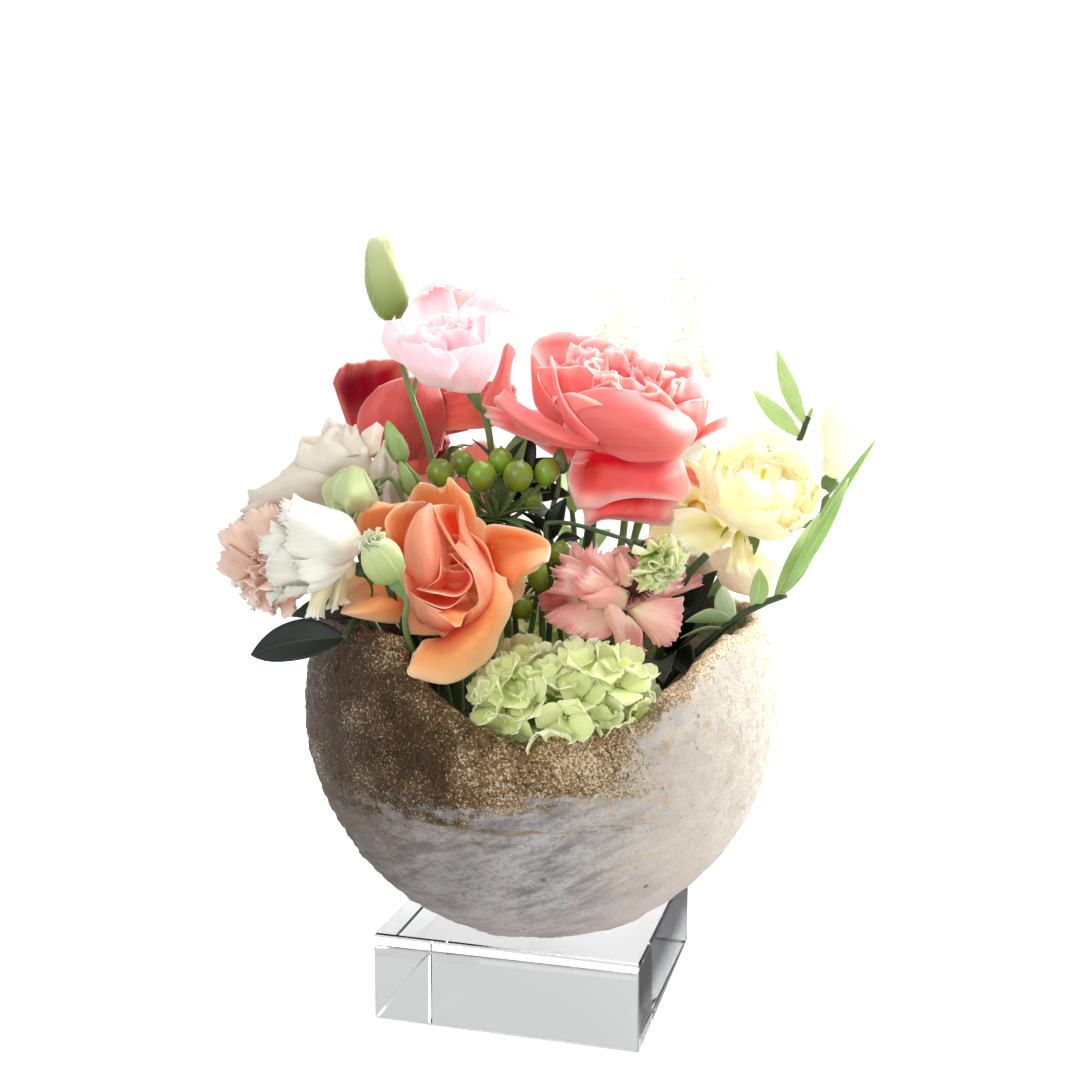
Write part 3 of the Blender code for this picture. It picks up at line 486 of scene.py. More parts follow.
@dataclass(frozen=True)
class GildedPlasterFinish(Finish):
    """Rough plaster with crinkled gold leaf above and whitewash below.

    The leaf ends along a streaky line that dips in the middle. It darkens to brown on the left as
    painted shade, carries painted glints, and on the right it gives way to pale plaster with a few flecks.
    """

    name: str = "gilded_plaster_finish"
    left_end: float = 0.100
    right_end: float = 0.113
    pale_from: float = 0.026
    patch_scale: float = 45.0
    pit_scale: float = 700.0
    painted_glint_scale: float = 1050.0
    grain_scale: float = 1500.0
    crumb_scale: float = 260.0
    speckle_scale: float = 560.0
    slant: float = 0.45
    gold: Colour = paint(172, 134, 80)
    painted_glint: Colour = paint(255, 240, 208)
    bronze_and_painted_shade: Colour = paint(86, 64, 42)
    dark: Colour = paint(50, 37, 25)
    streak: Colour = paint(136, 106, 72)
    wash: Colour = paint(204, 201, 200)
    shadow: Colour = paint(142, 137, 136)
    # Painted shade on the left of the plaster, which is also the colour of its pits.
    painted_shade_and_pit_colour: Colour = paint(104, 90, 80)
    stain: Colour = paint(226, 190, 146)
    # Cream and blush are painted light on the plaster: cream on the right, blush low down.
    cream: Colour = paint(250, 239, 223)
    blush: Colour = paint(231, 214, 207)

    def leaf(self, board: Wiring, spot: Socket, x: Socket, grain: Socket) -> Socket:
        """Returns the gold leaf's colour: brown patches, painted shade on the left, dark pits and painted
        glints.
        """
        patches = board.noise(spot, self.patch_scale, 4.0, 0.6)
        # The leaf darkens to brown on the left as painted shade, on top of its own patches.
        shade = board.add(board.times(x, 7.0), board.times(patches, 1.5))
        sheet = board.mix(board.rise(shade, 0.2, 1.05), self.bronze_and_painted_shade, self.gold)
        pits = board.rise(board.noise(spot, self.pit_scale, 4.0, 0.7), 0.54, 0.38, 0.8)
        sheet = board.mix(pits, sheet, self.dark)
        # Painted glints: bright specks of painted highlight, denser towards the right.
        painted_glint_mask = board.noise(spot, self.painted_glint_scale, 3.0, 0.75)
        painted_glint_mask = board.add(painted_glint_mask, board.swing(patches, 0.4), board.times(x, 0.9))
        sheet = board.mix(board.rise(painted_glint_mask, 0.5, 0.64, 0.85), sheet, self.painted_glint)
        return board.mix(board.rise(grain, 0.42, 0.3, 0.5), sheet, self.dark)

    def plaster(self, board: Wiring, spot: Socket, x: Socket, z: Socket, scuffs: Socket) -> Socket:
        """Returns the whitewash's colour: strokes, pits, painted light on the right and low down, painted
        shade on the left.
        """
        lime = board.mix(board.rise(scuffs, 0.32, 0.62), self.shadow, self.wash)
        speckles = board.rise(board.noise(spot, self.speckle_scale, 4.0, 0.7), 0.5, 0.36, 0.62)
        lime = board.mix(speckles, lime, self.shadow)
        # Painted shade: the plaster darkens towards its left side.
        painted_shade_mask = board.add(x, board.times(board.noise(spot, 26.0), 0.05))
        lime = board.mix(board.rise(painted_shade_mask, 0.02, -0.06, 0.8), lime, self.painted_shade_and_pit_colour)
        # Painted light: the plaster turns cream to the right and blush low down.
        painted_light_mask = board.math("ADD", board.rise(x, 0.0, 0.06), board.rise(z, 0.075, 0.045, 0.5), clamp=True)
        painted_light_tint = board.mix(board.rise(z, 0.1, 0.05), self.cream, self.blush)
        lime = board.mix(board.times(painted_light_mask, 0.85), lime, painted_light_tint)
        # The pits darken to the same colour as the painted shade.
        lime = board.mix(board.rise(board.cells(spot, 60.0), 0.1, 0.04, 0.8), lime, self.painted_shade_and_pit_colour)
        high = board.times(z, 0.5)
        stains = board.add(board.noise(spot, 130.0, 5.0, 0.75), high)
        lime = board.mix(board.rise(stains, 0.6, 0.72, 0.55), lime, self.stain)
        flecks = board.add(board.noise(spot, 300.0, 4.0, 0.7), high)
        return board.mix(board.rise(flecks, 0.69, 0.75, 0.5), lime, self.streak)

    def wire(self, board: Wiring, shader: bpy.types.Node) -> None:
        """Wires the leaf's cover, the two colours, the sheen and the relief."""
        spot = board.place()
        x, y, z = board.split(spot)
        grain = board.noise(spot, self.grain_scale, 3.0, 0.7)
        ripple = board.noise(board.stretch(spot, (34.0, 34.0, 230.0)), 1.0, 5.0, 0.65)
        crumbs = board.noise(spot, self.crumb_scale, 4.0, 0.7)
        climb = board.times(board.rise(x, -0.09, 0.03), self.right_end - self.left_end)
        end = board.add(self.left_end, climb)
        ragged = board.add(z, board.swing(ripple, 0.034), board.swing(crumbs, 0.03))
        ragged = board.add(ragged, board.swing(grain, 0.026))
        over = board.minus(ragged, end)
        shift = board.add(x, board.swing(crumbs, 0.05))
        kept = board.minus(1.0, board.rise(shift, self.pale_from, self.pale_from + 0.014, 0.96))
        edge = board.add(board.split(board.attribute("rim"))[0], board.swing(crumbs, 2.2))
        above = board.times(board.rise(over, -0.003, 0.006), kept)
        cover = board.math("MAXIMUM", above, board.rise(edge, 0.62, 0.78, 0.85))
        slanted = board.vector(
            board.times(board.minus(z, board.times(x, self.slant)), 210.0),
            board.times(board.add(x, board.times(z, self.slant)), 60.0),
            board.times(y, 40.0),
        )
        scuffs = board.noise(slanted, 1.0, 6.0, 0.68)
        lime = self.plaster(board, spot, x, z, scuffs)
        band = board.times(board.rise(over, -0.016, -0.002), board.rise(ripple, 0.5, 0.62))
        lime = board.mix(board.times(band, board.times(kept, 0.7)), lime, self.streak)
        leaf_rough = board.add(0.34, board.times(grain, 0.25))
        rough = board.add(board.times(leaf_rough, cover), board.times(board.minus(1.0, cover), 0.88))
        pits = board.rise(board.cells(spot, 110.0), 0.05, 0.2)
        relief = board.add(board.times(crumbs, 0.8), board.times(grain, 0.6))
        relief = board.add(relief, board.times(scuffs, 1.3), board.times(pits, 0.5))
        board.fill(
            shader, Base_Color=board.mix(cover, lime, self.leaf(board, spot, x, grain)),
            Metallic=board.times(cover, 0.6), Roughness=rough, Normal=board.bump(relief, 1.0, 0.0021),
        )


class Skin:
    """Gathers the faces of one piece, and what its finish reads at each point.

    The attribute spot holds the place across (-1 to 1) and along (0 to 1) a petal or leaf, and
    how far out its whorl is. The attribute mark holds a tone of its own and the face it is on.
    """

    def __init__(self) -> None:
        """Starts empty."""
        self.points: list[np.ndarray] = []
        self.faces: list[tuple[int, ...]] = []
        self.spots: list[np.ndarray] = []
        self.marks: list[np.ndarray] = []
        self.total = 0

    def add(self, points: np.ndarray, faces: Iterable, spots: np.ndarray, marks: np.ndarray) -> None:
        """Adds points, with faces that number them from 0."""
        start = self.total
        self.points.append(points)
        self.faces += [tuple(int(corner) + start for corner in face) for face in faces]
        self.spots.append(spots)
        self.marks.append(marks)
        self.total += len(points)

    def blade(self, grid: np.ndarray, thickness: float, whorl: float = 1.0, tone: float = 0.5) -> None:
        """Adds a thin closed blade over a grid of points.

        Args:
            grid: Rows from root to tip, by columns across, by three.
            thickness: The thickness in the middle, in millimetres. It thins out to the margin.
            whorl: How far out the whorl is, 0 at the heart and 1 outermost.
            tone: The blade's own tone, 0 to 1.
        """
        rows, columns = grid.shape[:2]
        normal = np.cross(np.gradient(grid, axis=1), np.gradient(grid, axis=0))
        normal /= np.linalg.norm(normal, axis=2, keepdims=True) + 1e-9
        across = np.broadcast_to(np.linspace(-1, 1, columns)[None, :], (rows, columns))
        along = np.broadcast_to(np.linspace(0, 1, rows)[:, None], (rows, columns))
        taper = 1 - 0.6 * np.maximum(np.abs(across) ** 8, along**8)
        half = normal * (thickness / 2 * taper)[..., None]
        number = np.arange(rows * columns).reshape(rows, columns)
        corners = [number[:-1, :-1], number[:-1, 1:], number[1:, 1:], number[1:, :-1]]
        front = np.stack(corners, -1).reshape(-1, 4)
        back = front[:, ::-1] + rows * columns
        ring = np.concatenate([number[0, :-1], number[:-1, -1], number[-1, :0:-1], number[:0:-1, 0]])
        after = np.roll(ring, -1)
        rim = np.stack([after, ring, ring + rows * columns, after + rows * columns], -1)
        points = np.concatenate([(grid + half).reshape(-1, 3), (grid - half).reshape(-1, 3)])
        spot = np.stack([across, along, np.full_like(along, whorl)], -1).reshape(-1, 3)
        mark = np.zeros((2 * rows * columns, 3))
        mark[:, 0] = tone
        mark[rows * columns:, 1] = 1
        self.add(points, np.concatenate([front, back, rim]), np.concatenate([spot, spot]), mark)

    def turned(self, profile: Sequence[Pair], matrix: Matrix, sides: int = 16, whorl: float = 0.0,
               tone: float = 0.5, wound: tuple[int, float, float] = (1, 0.0, 0.0)) -> None:
        """Adds a closed solid turned round local Z.

        Args:
            profile: Radius and height from the bottom of the axis to its top. The ends are on the axis.
            matrix: Its place, in millimetres.
            sides: The number of sides.
            whorl: The value that its finish reads as the whorl.
            tone: Its own tone.
            wound: How many petals overlap round it, their turns from bottom to top, and how far
                each one's margin stands out, as a share of the radius.
        """
        rings = profile[1:-1]
        turn = np.linspace(0, 2 * math.pi, sides, endpoint=False)
        petals, twist, step = wound
        points = [(0.0, 0.0, profile[0][1])]
        for ring, (r, z) in enumerate(rings):
            for a in turn:
                share = (petals * a / (2 * math.pi) + twist * ring / len(rings)) % 1.0
                reach = r * (1 + step * (share**2 - 0.4))
                points.append((reach * math.cos(a), reach * math.sin(a), z))
        points.append((0.0, 0.0, profile[-1][1]))
        last = len(points) - 1
        faces: list[tuple[int, ...]] = []
        for k in range(sides):
            after = (k + 1) % sides
            faces.append((0, 1 + after, 1 + k))
            for ring in range(len(rings) - 1):
                low = 1 + ring * sides
                faces.append((low + k, low + after, low + sides + after, low + sides + k))
            top = 1 + (len(rings) - 1) * sides
            faces.append((top + k, top + after, last))
        turned = np.array(matrix)
        placed = np.array(points) @ turned[:3, :3].T + turned[:3, 3]
        spot = np.zeros((len(points), 3))
        spot[:, 1] = np.linspace(0, 1, len(points))
        spot[:, 2] = whorl
        mark = np.zeros((len(points), 3))
        mark[:, 0] = tone
        self.add(placed, faces, spot, mark)

    def take(self, mesh: bpy.types.Mesh) -> None:
        """Adds a mesh that is in metres, with its marks where it has them, and deletes it."""
        count = len(mesh.vertices)
        flat = np.empty(count * 3)
        mesh.vertices.foreach_get("co", flat)
        values = {"spot": np.zeros((count, 3)), "mark": np.full((count, 3), 0.5), "copy_tone": None}
        for label in values:
            layer = mesh.attributes.get(label)
            if layer:
                read = np.empty(count * 3)
                layer.data.foreach_get("vector", read)
                values[label] = read.reshape(-1, 3)
        if values["copy_tone"] is not None:
            values["mark"][:, 0] = values["copy_tone"][:, 0]
        faces = [tuple(face.vertices) for face in mesh.polygons]
        self.add(flat.reshape(-1, 3) / MM, faces, values["spot"], values["mark"])
        bpy.data.meshes.remove(mesh)

    def tubes(self, paths: Sequence[tuple[Sequence[Vector], Sequence[float]]], finish: Finish,
              sides: int = 12) -> None:
        """Adds round tubes along paths, each given as its points and the radius at each point."""
        self.take(Growth.TUBE.grow(paths_mesh(paths), Sides=sides, Finish=finish.material()))

    def mesh(self, name: str) -> bpy.types.Mesh:
        """Returns the gathered faces as a smooth mesh in metres."""
        made = bpy.data.meshes.new(name)
        made.from_pydata(np.concatenate(self.points) * MM, [], self.faces)
        keep(made, "spot", np.concatenate(self.spots))
        keep(made, "mark", np.concatenate(self.marks))
        made.shade_smooth()
        made.update()
        return made

    def piece(self, node: str, finish: Finish, slot: str, part: str = "dressed") -> bpy.types.Object:
        """Hands what was gathered to the frame, named after the CAD node that it stands for."""
        return put_out(f"{node}_{part}", self.mesh(node), finish, slot, (node,))


def keep(mesh: bpy.types.Mesh, name: str, values: Sequence) -> None:
    """Keeps a number or a vector for each point of a mesh, under a name."""
    flat = np.array(values, np.float32)
    kind, member = ("FLOAT_VECTOR", "vector") if flat.ndim == 2 else ("FLOAT", "value")
    mesh.attributes.new(name, kind, "POINT").data.foreach_set(member, flat.ravel())


def egg_profile(radius: float, height: float, rings: int = 7, lean: float = 0.0) -> list[Pair]:
    """Returns the profile of an egg that stands on the origin, widest lower down as lean grows."""
    made = []
    for k in range(rings + 1):
        turn = math.pi * k / rings
        rise = (1 - math.cos(turn)) / 2
        made.append((radius * math.sin(turn) * (1 + lean * (0.5 - rise)), height * rise))
    return made


def put_out(name: str, mesh: bpy.types.Mesh, finish: Finish, slot: str,
            nodes: Sequence[str]) -> bpy.types.Object:
    """Makes a finished piece of a mesh and hands it to the frame.

    Args:
        name: The piece's name.
        mesh: Its mesh, already in place.
        finish: Its finish.
        slot: A material slot's name. It is not used.
        nodes: The CAD nodes that it stands for, or none.

    Returns:
        The piece.
    """
    mesh.materials.clear()
    mesh.materials.append(finish.material())
    piece = bpy.data.objects.new(name, mesh)
    bpy.context.scene.collection.objects.link(piece)
    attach(piece, "root")
    if nodes:
        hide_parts(*nodes)
    LOG.info("%s: %d faces", name, len(mesh.polygons))
    return piece


class Growth(Enum):
    """The Geometry Nodes trees: what is scattered on points, and what runs along a path."""

    SCATTER = "scatter"
    TUBE = "tube"

    def tree(self) -> bpy.types.NodeTree:
        """Returns the tree, and builds it the first time."""
        made = bpy.data.node_groups.get(self.value)
        if made:
            return made
        made = bpy.data.node_groups.new(self.value, "GeometryNodeTree")
        face = made.interface
        face.new_socket("Geometry", in_out="INPUT", socket_type="NodeSocketGeometry")
        face.new_socket("Geometry", in_out="OUTPUT", socket_type="NodeSocketGeometry")
        builders = {Growth.SCATTER: build_scatter, Growth.TUBE: build_tube}
        builders[self](Wiring(made))
        return made

    def grow(self, source: bpy.types.Mesh, **values: object) -> bpy.types.Mesh:
        """Runs the tree on a mesh.

        Args:
            source: The mesh that it starts from.
            values: Its named inputs, where _ stands for a space.

        Returns:
            The result as a plain mesh.
        """
        tree = self.tree()
        items = [item for item in tree.interface.items_tree if item.in_out == "INPUT"]
        sockets = {item.name: item.identifier for item in items}
        host = bpy.data.objects.new("host", source)
        bpy.context.scene.collection.objects.link(host)
        modifier = host.modifiers.new("Growth", "NODES")
        modifier.node_group = tree
        for name, value in values.items():
            modifier[sockets[name.replace("_", " ")]] = value
        graph = bpy.context.evaluated_depsgraph_get()
        graph.update()
        made = bpy.data.meshes.new_from_object(
            host.evaluated_get(graph), preserve_all_data_layers=True, depsgraph=graph
        )
        host.modifiers.remove(modifier)
        bpy.data.objects.remove(host)
        return made


def open_growth(board: Wiring, **kinds: str) -> Sequence[Socket]:
    """Gives a Geometry Nodes tree its inputs, each a name and a kind of socket, and returns them."""
    for name, kind in kinds.items():
        board.tree.interface.new_socket(name, in_out="INPUT", socket_type=f"NodeSocket{kind}")
    return board.node("NodeGroupInput").outputs


def end_growth(board: Wiring, shape: Socket, finish: Socket) -> None:
    """Makes a tree's copies real, gives them their finish and sends them out."""
    real = board.fill(board.node("GeometryNodeRealizeInstances"), Geometry=shape)
    dressed = board.fill(board.node("GeometryNodeSetMaterial"), Geometry=real.outputs[0], Material=finish)
    board.fill(board.node("NodeGroupOutput"), Geometry=dressed.outputs[0])


def build_scatter(board: Wiring) -> None:
    """Copies an object on every point, turned and sized by the point, with a tone of its own."""
    given = open_growth(board, Copy="Object", Jitter="Float", Seed="Int", Finish="Material")
    info = board.fill(board.node("GeometryNodeObjectInfo"), Object=given["Copy"])
    chance = board.fill(board.node("FunctionNodeRandomValue", data_type="FLOAT"), Seed=given["Seed"])
    board.feed(chance.inputs[2], board.minus(1.0, given["Jitter"]))
    board.feed(chance.inputs[3], board.add(1.0, given["Jitter"]))
    copies = board.fill(
        board.node("GeometryNodeInstanceOnPoints"), Points=given["Geometry"],
        Instance=info.outputs["Geometry"], Rotation=board.kept("turn", "FLOAT_VECTOR"),
        Scale=board.times(board.kept("size", "FLOAT"), chance.outputs[1]),
    )
    tone = board.fill(board.node("FunctionNodeRandomValue", data_type="FLOAT_VECTOR"), Seed=given["Seed"])
    toned = board.fill(
        board.node("GeometryNodeStoreNamedAttribute", data_type="FLOAT_VECTOR", domain="INSTANCE"),
        Name="copy_tone", Geometry=copies.outputs[0], Value=tone.outputs[0],
    )
    end_growth(board, toned.outputs[0], given["Finish"])


def build_tube(board: Wiring) -> None:
    """Runs a round tube along every path, as thick as the radius at each of its points."""
    given = open_growth(board, Sides="Int", Finish="Material")
    radius = board.kept("radius", "FLOAT")
    path = board.fill(board.node("GeometryNodeMeshToCurve"), Mesh=given["Geometry"])
    thick = board.fill(board.node("GeometryNodeSetCurveRadius"), Curve=path.outputs[0], Radius=radius)
    ring = board.fill(board.node("GeometryNodeCurvePrimitiveCircle"), Resolution=given["Sides"], Radius=1.0)
    tube = board.fill(
        board.node("GeometryNodeCurveToMesh"), Curve=thick.outputs[0], Profile_Curve=ring.outputs[0],
        Fill_Caps=True,
    )
    # Some versions of Blender scale the tube by an input of this node, and others by the curve's radius.
    if "Scale" in tube.inputs:
        board.feed(tube.inputs["Scale"], radius)
    soft = board.fill(board.node("GeometryNodeSetShadeSmooth"), Geometry=tube.outputs[0])
    end_growth(board, soft.outputs[0], given["Finish"])


def points_mesh(points: Sequence[Vector], turns: Sequence[Triple],
                sizes: Sequence[float]) -> bpy.types.Mesh:
    """Returns loose points that carry the turn and the size of the copies set on them."""
    made = bpy.data.meshes.new("points")
    made.from_pydata([Vector(point) * MM for point in points], [], [])
    keep(made, "turn", turns)
    keep(made, "size", sizes)
    return made


def paths_mesh(paths: Sequence[tuple[Sequence[Vector], Sequence[float]]]) -> bpy.types.Mesh:
    """Returns open paths, each given as its points and the radius at each point."""
    points: list[Vector] = []
    edges: list[tuple[int, int]] = []
    radii: list[float] = []
    for line, thickness in paths:
        edges += [(len(points) + k, len(points) + k + 1) for k in range(len(line) - 1)]
        points += [Vector(point) * MM for point in line]
        radii += [value * MM for value in thickness]
    made = bpy.data.meshes.new("paths")
    made.from_pydata(points, edges, [])
    keep(made, "radius", radii)
    return made


def smooth_line(points: Sequence[Triple], steps: int = 8) -> list[Vector]:
    """Returns points on a smooth curve (Catmull-Rom) through the points given."""
    through = [Vector(p) for p in points]
    ends = [2 * through[0] - through[1], *through, 2 * through[-1] - through[-2]]
    line = []
    for i in range(1, len(ends) - 2):
        before, start, end, after = ends[i - 1:i + 3]
        for k in range(steps):
            t = k / steps
            line.append(0.5 * (
                2 * start + (end - before) * t
                + (2 * before - 5 * start + 4 * end - after) * t**2
                + (3 * start - before - 3 * end + after) * t**3
            ))
    line.append(through[-1])
    return line


def tilted(grid: np.ndarray, angle: float) -> np.ndarray:
    """Turns a petal's points in a bloom's frame, so that its axis leans upwards by an angle."""
    a = math.radians(angle)
    turn = np.array([[math.cos(a), 0, math.sin(a)], [0, 1, 0], [-math.sin(a), 0, math.cos(a)]])
    return grid @ turn.T


def margin_lift(petal: "Whorl | LaidPetal", s: np.ndarray, t: np.ndarray, phase: float) -> np.ndarray:
    """Returns how far a petal's curl, ruffle and frill lift each point towards its inner side."""
    margin = 1 - (1 - t**4) * (1 - np.abs(s) ** 4 * t)
    brink = 1 - (1 - t**6) * (1 - np.abs(s) ** 7 * t**2)
    fine = np.sin(petal.waves * math.pi * s + 2 * phase + 2 * t)
    fine = fine + 0.5 * np.sin(petal.waves * 7.1 * s - phase)
    broad = 0.8 * t**2 * np.sin(2.2 * math.pi * s + phase)
    return petal.ruffle * broad + petal.frill * brink * fine - petal.curl * margin


def margin_cut(petal: "Whorl | LaidPetal", s: np.ndarray, t: np.ndarray, phase: float) -> np.ndarray:
    """Returns how far a petal's teeth and notch cut into its tip."""
    teeth = 0.5 + 0.3 * np.sin(petal.waves * 4.3 * s + phase) + 0.2 * np.sin(petal.waves * 9.7 * s - phase)
    return teeth * petal.fringe * t**8 + petal.notch * np.exp(-(s / 0.22) ** 2) * t**5


@dataclass(frozen=True)
class Whorl:
    """One ring of petals.

    Opening is the angle from the bloom's axis, at the root and at the tip. Curl turns the margin
    outwards, ruffle bends it in broad waves, frill in fine ones, and fringe cuts it into teeth.
    """

    count: int
    length: float
    width: float
    open_root: float
    open_tip: float
    curl: float = 1.0
    ruffle: float = 0.0
    first: float = 0.0
    frill: float = 0.0
    waves: float = 7.0
    fringe: float = 0.0
    notch: float = 0.0
    cup: float = 0.0
    late: float = 1.0
    spread: float = 1.3
    tuck: float = 1.6
    ring: float = 1.2
    lift: float = 2.5
    tilt: float = 0.0
    shoulder: float = 0.66
    crown: float = 0.22
    depth: float = 1.0
    columns: int = 22
    rows: int = 18

    def grid(self, index: int, chance: random.Random) -> np.ndarray:
        """Returns one petal as rows of points in the bloom's frame."""
        s = np.linspace(-1, 1, self.columns + 1)[None, :]
        t = np.linspace(0, 1, self.rows + 1)[:, None]
        angle = math.radians(self.first + index * 360 / self.count + chance.uniform(-3, 3))
        length = self.length * chance.uniform(0.97, 1.03)
        phase = chance.uniform(0, 2 * math.pi)
        root = math.radians(self.open_root)
        tip = math.radians(self.open_tip + chance.uniform(-3, 3))
        reach = t * (1 - self.crown * s**2 * t**2 - 0.06 * s**6 * t)
        reach = reach - margin_cut(self, s, t, phase) / length
        tilt = root + (tip - root) * np.clip(reach, 0, 1) ** self.late
        step = np.diff(reach, axis=0, prepend=0) * length
        out = self.ring + np.cumsum(step * np.sin(tilt), axis=0)
        rise = self.lift + np.cumsum(step * np.cos(tilt), axis=0)
        swell = np.sin(np.minimum(1, t / self.shoulder) * math.pi / 2) ** 0.85
        swell = swell * np.sqrt(1 - 0.6 * np.clip((t - self.shoulder) / (1 - self.shoulder), 0, 1) ** 2.4)
        widest = math.pi / self.count * self.spread if self.count > 1 else 1.2
        wrap = np.minimum(self.width / 2 * swell / np.maximum(out, 2.0), widest * (0.75 + 0.25 * t))
        turn = angle + s * wrap
        radial = np.stack([np.cos(turn), -np.sin(turn), np.zeros_like(turn)], -1)
        inward = -np.cos(tilt)[..., None] * radial
        inward[..., 2] += np.sin(tilt)
        lift = self.tuck * s * np.minimum(1, 2 * t) * (1 if self.count > 1 else 0)
        lift = lift + self.cup * s**2 * t + margin_lift(self, s, t, phase)
        grid = out[..., None] * radial + lift[..., None] * inward
        grid[..., 2] += rise
        return tilted(grid, self.tilt)


def net_weights(share: np.ndarray, count: int) -> np.ndarray:
    """Returns the weight of each of count points, at shares of a smooth line through them."""
    place = np.clip(share, 0, 1) * (count - 1)
    first = np.minimum(place.astype(int), count - 2)
    u = place - first
    parts = ((-u**3 + 2 * u**2 - u) / 2, (3 * u**3 - 5 * u**2 + 2) / 2, (-3 * u**3 + 4 * u**2 + u) / 2,
             (u**3 - u**2) / 2)
    weights = sum(part[..., None] * np.eye(count + 2)[first + k] for k, part in enumerate(parts))
    weights[..., 1] += 2 * weights[..., 0]
    weights[..., 2] -= weights[..., 0]
    weights[..., -2] += 2 * weights[..., -1]
    weights[..., -3] -= weights[..., -1]
    return weights[..., 1:-1]


@dataclass(frozen=True)
class LaidPetal:
    """One petal laid through rows of points, from its root to its margin, in millimetres from its seat.

    A row holds x, y and z of one point after another, from left to right as the petal's inner face
    is seen with the margin up. The other fields are a whorl's, with teeth and notch as shares of
    the length.
    """

    net: tuple[tuple[float, ...], ...]
    depth: float = 1.0
    curl: float = 0.0
    ruffle: float = 0.0
    frill: float = 0.0
    waves: float = 5.0
    fringe: float = 0.0
    notch: float = 0.0
    columns: int = 26
    lines: int = 20

    def grid(self, chance: random.Random) -> np.ndarray:
        """Returns the petal as rows of points from the seat's base."""
        s = np.linspace(-1, 1, self.columns + 1)[None, :]
        t = np.linspace(0, 1, self.lines + 1)[:, None]
        phase = chance.uniform(0, 2 * math.pi)
        reach = t - margin_cut(self, s, t, phase)
        net = np.array(self.net).reshape(len(self.net), -1, 3)
        across = net_weights((s[0] + 1) / 2, net.shape[1])
        grid = np.einsum("tsj,jic,si->tsc", net_weights(reach, len(net)), net, across)
        inward = np.cross(np.gradient(grid, axis=1), np.gradient(grid, axis=0))
        inward /= np.linalg.norm(inward, axis=2, keepdims=True) + 1e-6
        return grid + margin_lift(self, s, t, phase)[..., None] * inward


@dataclass(frozen=True)
class Heart:
    """Nested petals that wrap round the axis, as in the heart of a rose."""

    count: int
    inner: float
    outer: float
    height: float
    wrap_inner: float = 210.0
    wrap_outer: float = 120.0
    lip: float = 1.0
    ruffle: float = 0.4
    frill: float = 0.0
    first: float = 0.0
    foot: float = 3.0
    belly: float = 0.75
    tilt: float = 0.0
    depth: float = 0.35
    columns: int = 24
    rows: int = 14

    def grids(self, chance: random.Random) -> Iterable[tuple[np.ndarray, float]]:
        """Yields each petal as rows of points in the bloom's frame, with its depth in the bloom."""
        s = np.linspace(-1, 1, self.columns + 1)[None, :]
        t = np.linspace(0, 1, self.rows + 1)[:, None]
        for k in range(self.count):
            share = k / max(1, self.count - 1)
            radius = self.inner + (self.outer - self.inner) * share
            angle = math.radians(self.first + k * GOLDEN_TURN + chance.uniform(-8, 8))
            wrap = math.radians(self.wrap_inner + (self.wrap_outer - self.wrap_inner) * share) / 2
            height = self.height * (0.9 + 0.1 * share) * chance.uniform(0.95, 1.05)
            phase = chance.uniform(0, 2 * math.pi)
            body = (1 - self.belly * 0.87) + self.belly * np.sin(math.pi * (0.12 + 0.62 * t))
            around = s * wrap
            reach = radius * body * (1 + 0.1 * s) + self.lip * smooth(t, 0.72, 1.0) ** 2
            reach = reach + self.ruffle * t**2 * np.sin(3 * around + phase)
            reach = reach + self.frill * t**6 * np.sin(11 * around - phase)
            turn = angle + around
            rise = self.foot + height * t * (1 - 0.17 * np.abs(s) ** 2.5)
            sway = (chance.uniform(-0.5, 0.5), chance.uniform(-0.5, 0.5))
            grid = np.stack([
                reach * np.cos(turn) + sway[0] * t,
                -reach * np.sin(turn) + sway[1] * t,
                rise + np.zeros_like(turn),
            ], -1)
            yield tilted(grid, self.tilt), self.depth * share


SEATS: dict[str, Seat] = {
    "orange_rose": Seat((-33, -57, 181), 4, 20),
    "coral_rose": Seat((28, -6, 228), 30, 64),
    "red_rose": Seat((-42, 34, 224), -105, 46),
    "cream_rose": Seat((-60, -16, 206), -98, 28),
    "pink_lisianthus": Seat((-27, -20, 254), -40, 66),
    "white_lisianthus": Seat((-66, -80, 191), -80, 6),
    "peach_carnation": Seat((-97, -28, 188), -56, 4),
    "blush_lisianthus": Seat((37, -50, 181), 12, 24),
    "nodding_lisianthus": Seat((-64, -60, 217), -35, -30),
    "tall_bud": Seat((-61, 2, 282), -75, 82),
    "green_bud": Seat((-51, -102, 190.5), -52, 58),
    "ruffled_bud": Seat((36, -80, 197), 50, -28),
    "cream_ranunculus": Seat((83, -28, 202), 10, 42),
    "butter_lisianthus": Seat((65, -6, 206), -22, -10),
    "cream_tulip": Seat((122, 8, 216), 60, 70),
    "peach_rose": Seat((66, 18, 176), 40, 40),
    "back_rose": Seat((-38, 44, 190), 200, 40),
    "back_lisianthus": Seat((46, 56, 204), 165, 48),
}


